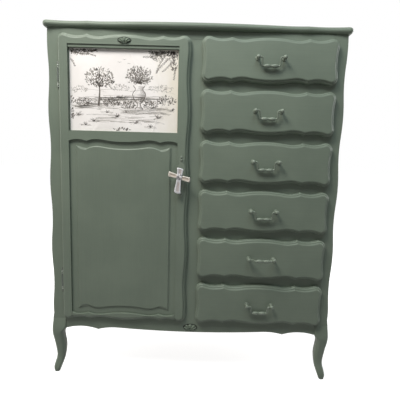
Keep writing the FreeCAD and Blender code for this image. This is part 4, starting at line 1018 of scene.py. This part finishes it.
def carved_shell(name, node, body, half, rise):
    """A shell whose ribs spread from its foot, in relief on a sunk oval ground."""
    low, high = (Vector(corner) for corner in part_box(node))
    proud = high.y - low.y - SHELL_GROUND
    middle = Vector(((low.x + high.x) / 2, high.y, (low.z + high.z) / 2))
    turns = [2 * math.pi * k / SHELL_TURNS for k in range(SHELL_TURNS)]
    places = [(0, 0)]
    for ring in range(1, SHELL_RINGS + 1):
        share = ring / SHELL_RINGS
        places += [(math.cos(turn) * share, math.sin(turn) * share) for turn in turns]
    lifts = [shell_lift(u, v) for u, v in places]
    heights = [SHELL_GROUND + proud * lift for lift in lifts]
    points = [middle + Vector((u * half, -height, v * rise)) for (u, v), height in zip(places, heights)]
    points += [middle + Vector((u * half, -SHELL_BACK, v * rise)) for u, v in places[-SHELL_TURNS:]]
    faces = [range(len(points) - SHELL_TURNS, len(points))]
    for k in range(SHELL_TURNS):
        after = (k + 1) % SHELL_TURNS
        faces.append([0, 1 + k, 1 + after])
        for ring in range(SHELL_RINGS):
            first = 1 + ring * SHELL_TURNS
            faces.append([first + k, first + SHELL_TURNS + k, first + SHELL_TURNS + after, first + after])
    shell = finished(name, points, faces, carving, body, "painted_wood")
    # The low ground, the valleys and the back rim get near-black painted shade.
    hollowed(shell, [1 - blended(lift, *SHELL_PAINTED_SHADE) for lift in lifts] + [1] * SHELL_TURNS)
    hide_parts(node)


def camera():
    """The photograph's camera."""
    down, turn, roll = (math.radians(angle) for angle in (CAMERA_DOWN, CAMERA_TURN, CAMERA_ROLL))
    ahead = Vector((math.sin(turn) * math.cos(down), math.cos(turn) * math.cos(down), -math.sin(down)))
    level = Vector((math.cos(turn), -math.sin(turn), 0))
    right = Matrix.Rotation(-roll, 3, ahead) @ level
    up = right.cross(ahead)
    eye = bpy.data.objects.new("camera", bpy.data.cameras.new("camera"))
    eye.data.sensor_width = SENSOR
    eye.data.lens = SENSOR * FOCAL_PIXELS / IMAGE_SIDE
    eye.matrix_world = Matrix.Translation(CAMERA_PLACE) @ Matrix((right, up, -ahead)).transposed().to_4x4()
    bpy.context.scene.collection.objects.link(eye)
    bpy.context.scene.camera = eye


def lamp(name, place, aim, size, power, tint):
    """A soft square lamp that points at a place."""
    light = bpy.data.lights.new(name, "AREA")
    light.shape = "SQUARE"
    light.size = size
    light.energy = power
    light.color = tint
    item = bpy.data.objects.new(name, light)
    item.location = place
    item.rotation_euler = (Vector(aim) - Vector(place)).to_track_quat("-Z", "Y").to_euler()
    bpy.context.scene.collection.objects.link(item)


def seen_white(tree, shader, white):
    """White where it is seen straight, in a mirror or through glass; the given shader for all other light."""
    path = tree.nodes.new("ShaderNodeLightPath")
    ray = Field(tree, path.outputs["Is Camera Ray"])
    for kind in ("Is Glossy Ray", "Is Transmission Ray"):
        ray = ray.apply("MAXIMUM", Field(tree, path.outputs[kind]))
    mix = tree.nodes.new("ShaderNodeMixShader")
    tree.links.new(ray.socket, mix.inputs["Fac"])
    tree.links.new(shader, mix.inputs[1])
    tree.links.new(white, mix.inputs[2])
    return mix.outputs["Shader"]


def studio_world():
    """Dim light from all round, before a white background."""
    world = bpy.data.worlds.new("studio")
    bpy.context.scene.world = world
    world.use_nodes = True
    tree = world.node_tree
    dim = tree.nodes["Background"]
    dim.inputs["Color"].default_value = (*WORLD_TINT, 1)
    dim.inputs["Strength"].default_value = WORLD_STRENGTH
    white = tree.nodes.new("ShaderNodeBackground")
    white.inputs["Color"].default_value = (*WHITE, 1)
    shader = seen_white(tree, dim.outputs["Background"], white.outputs["Background"])
    tree.links.new(shader, tree.nodes["World Output"].inputs["Surface"])


def floor_look():
    """Grey for the light that it throws back; for the camera a white that keeps the part's shadow."""
    look = bpy.data.materials.new("floor")
    look.use_nodes = True
    tree = look.node_tree
    pale = tree.nodes["Principled BSDF"]
    pale.inputs["Base Color"].default_value = (FLOOR_BOUNCE, FLOOR_BOUNCE, FLOOR_BOUNCE, 1)
    pale.inputs["Roughness"].default_value = FLOOR_ROUGH
    matt = tree.nodes.new("ShaderNodeBsdfDiffuse")
    matt.inputs["Color"].default_value = (FLOOR_SEEN, FLOOR_SEEN, FLOOR_SEEN, 1)
    glow = tree.nodes.new("ShaderNodeEmission")
    reach = tree.nodes.new("ShaderNodeVectorMath")
    reach.operation = "LENGTH"
    tree.links.new(tree.nodes.new("ShaderNodeTexCoord").outputs["Object"], reach.inputs[0])
    strength = Field(tree, reach.outputs["Value"]).ramp(*FLOOR_FADES, *FLOOR_GLOW)
    tree.links.new(strength.socket, glow.inputs["Strength"])
    both = tree.nodes.new("ShaderNodeAddShader")
    tree.links.new(matt.outputs["BSDF"], both.inputs[0])
    tree.links.new(glow.outputs["Emission"], both.inputs[1])
    shader = seen_white(tree, pale.outputs["BSDF"], both.outputs["Shader"])
    tree.links.new(shader, tree.nodes["Material Output"].inputs["Surface"])
    return look


def studio_floor():
    """A wide level sheet under the part."""
    bm = bmesh.new()
    bmesh.ops.create_grid(bm, x_segments=1, y_segments=1, size=FLOOR_HALF)
    mesh = bpy.data.meshes.new("floor")
    bm.to_mesh(mesh)
    bm.free()
    floor = bpy.data.objects.new("floor", mesh)
    bpy.context.scene.collection.objects.link(floor)
    mesh.materials.append(floor_look())


dressed_nodes()
for name in EASED_BOARDS:
    eased(name, EASED, clamped=True)
eased("door_bottom_rail", EASED_SILL, clamped=False)
printed_panel()
print_frame()
cross_pull()
escutcheon()
hinge_finials()
carved_shell("door_shell_carved", "door_shell", "door", *DOOR_SHELL)
carved_shell("apron_shell_carved", "apron_shell", "case", *APRON_SHELL)
camera()
studio_world()
studio_floor()
for name, values in LAMPS.items():
    lamp(name, *values)
bpy.context.scene.view_settings.view_transform = "Standard"
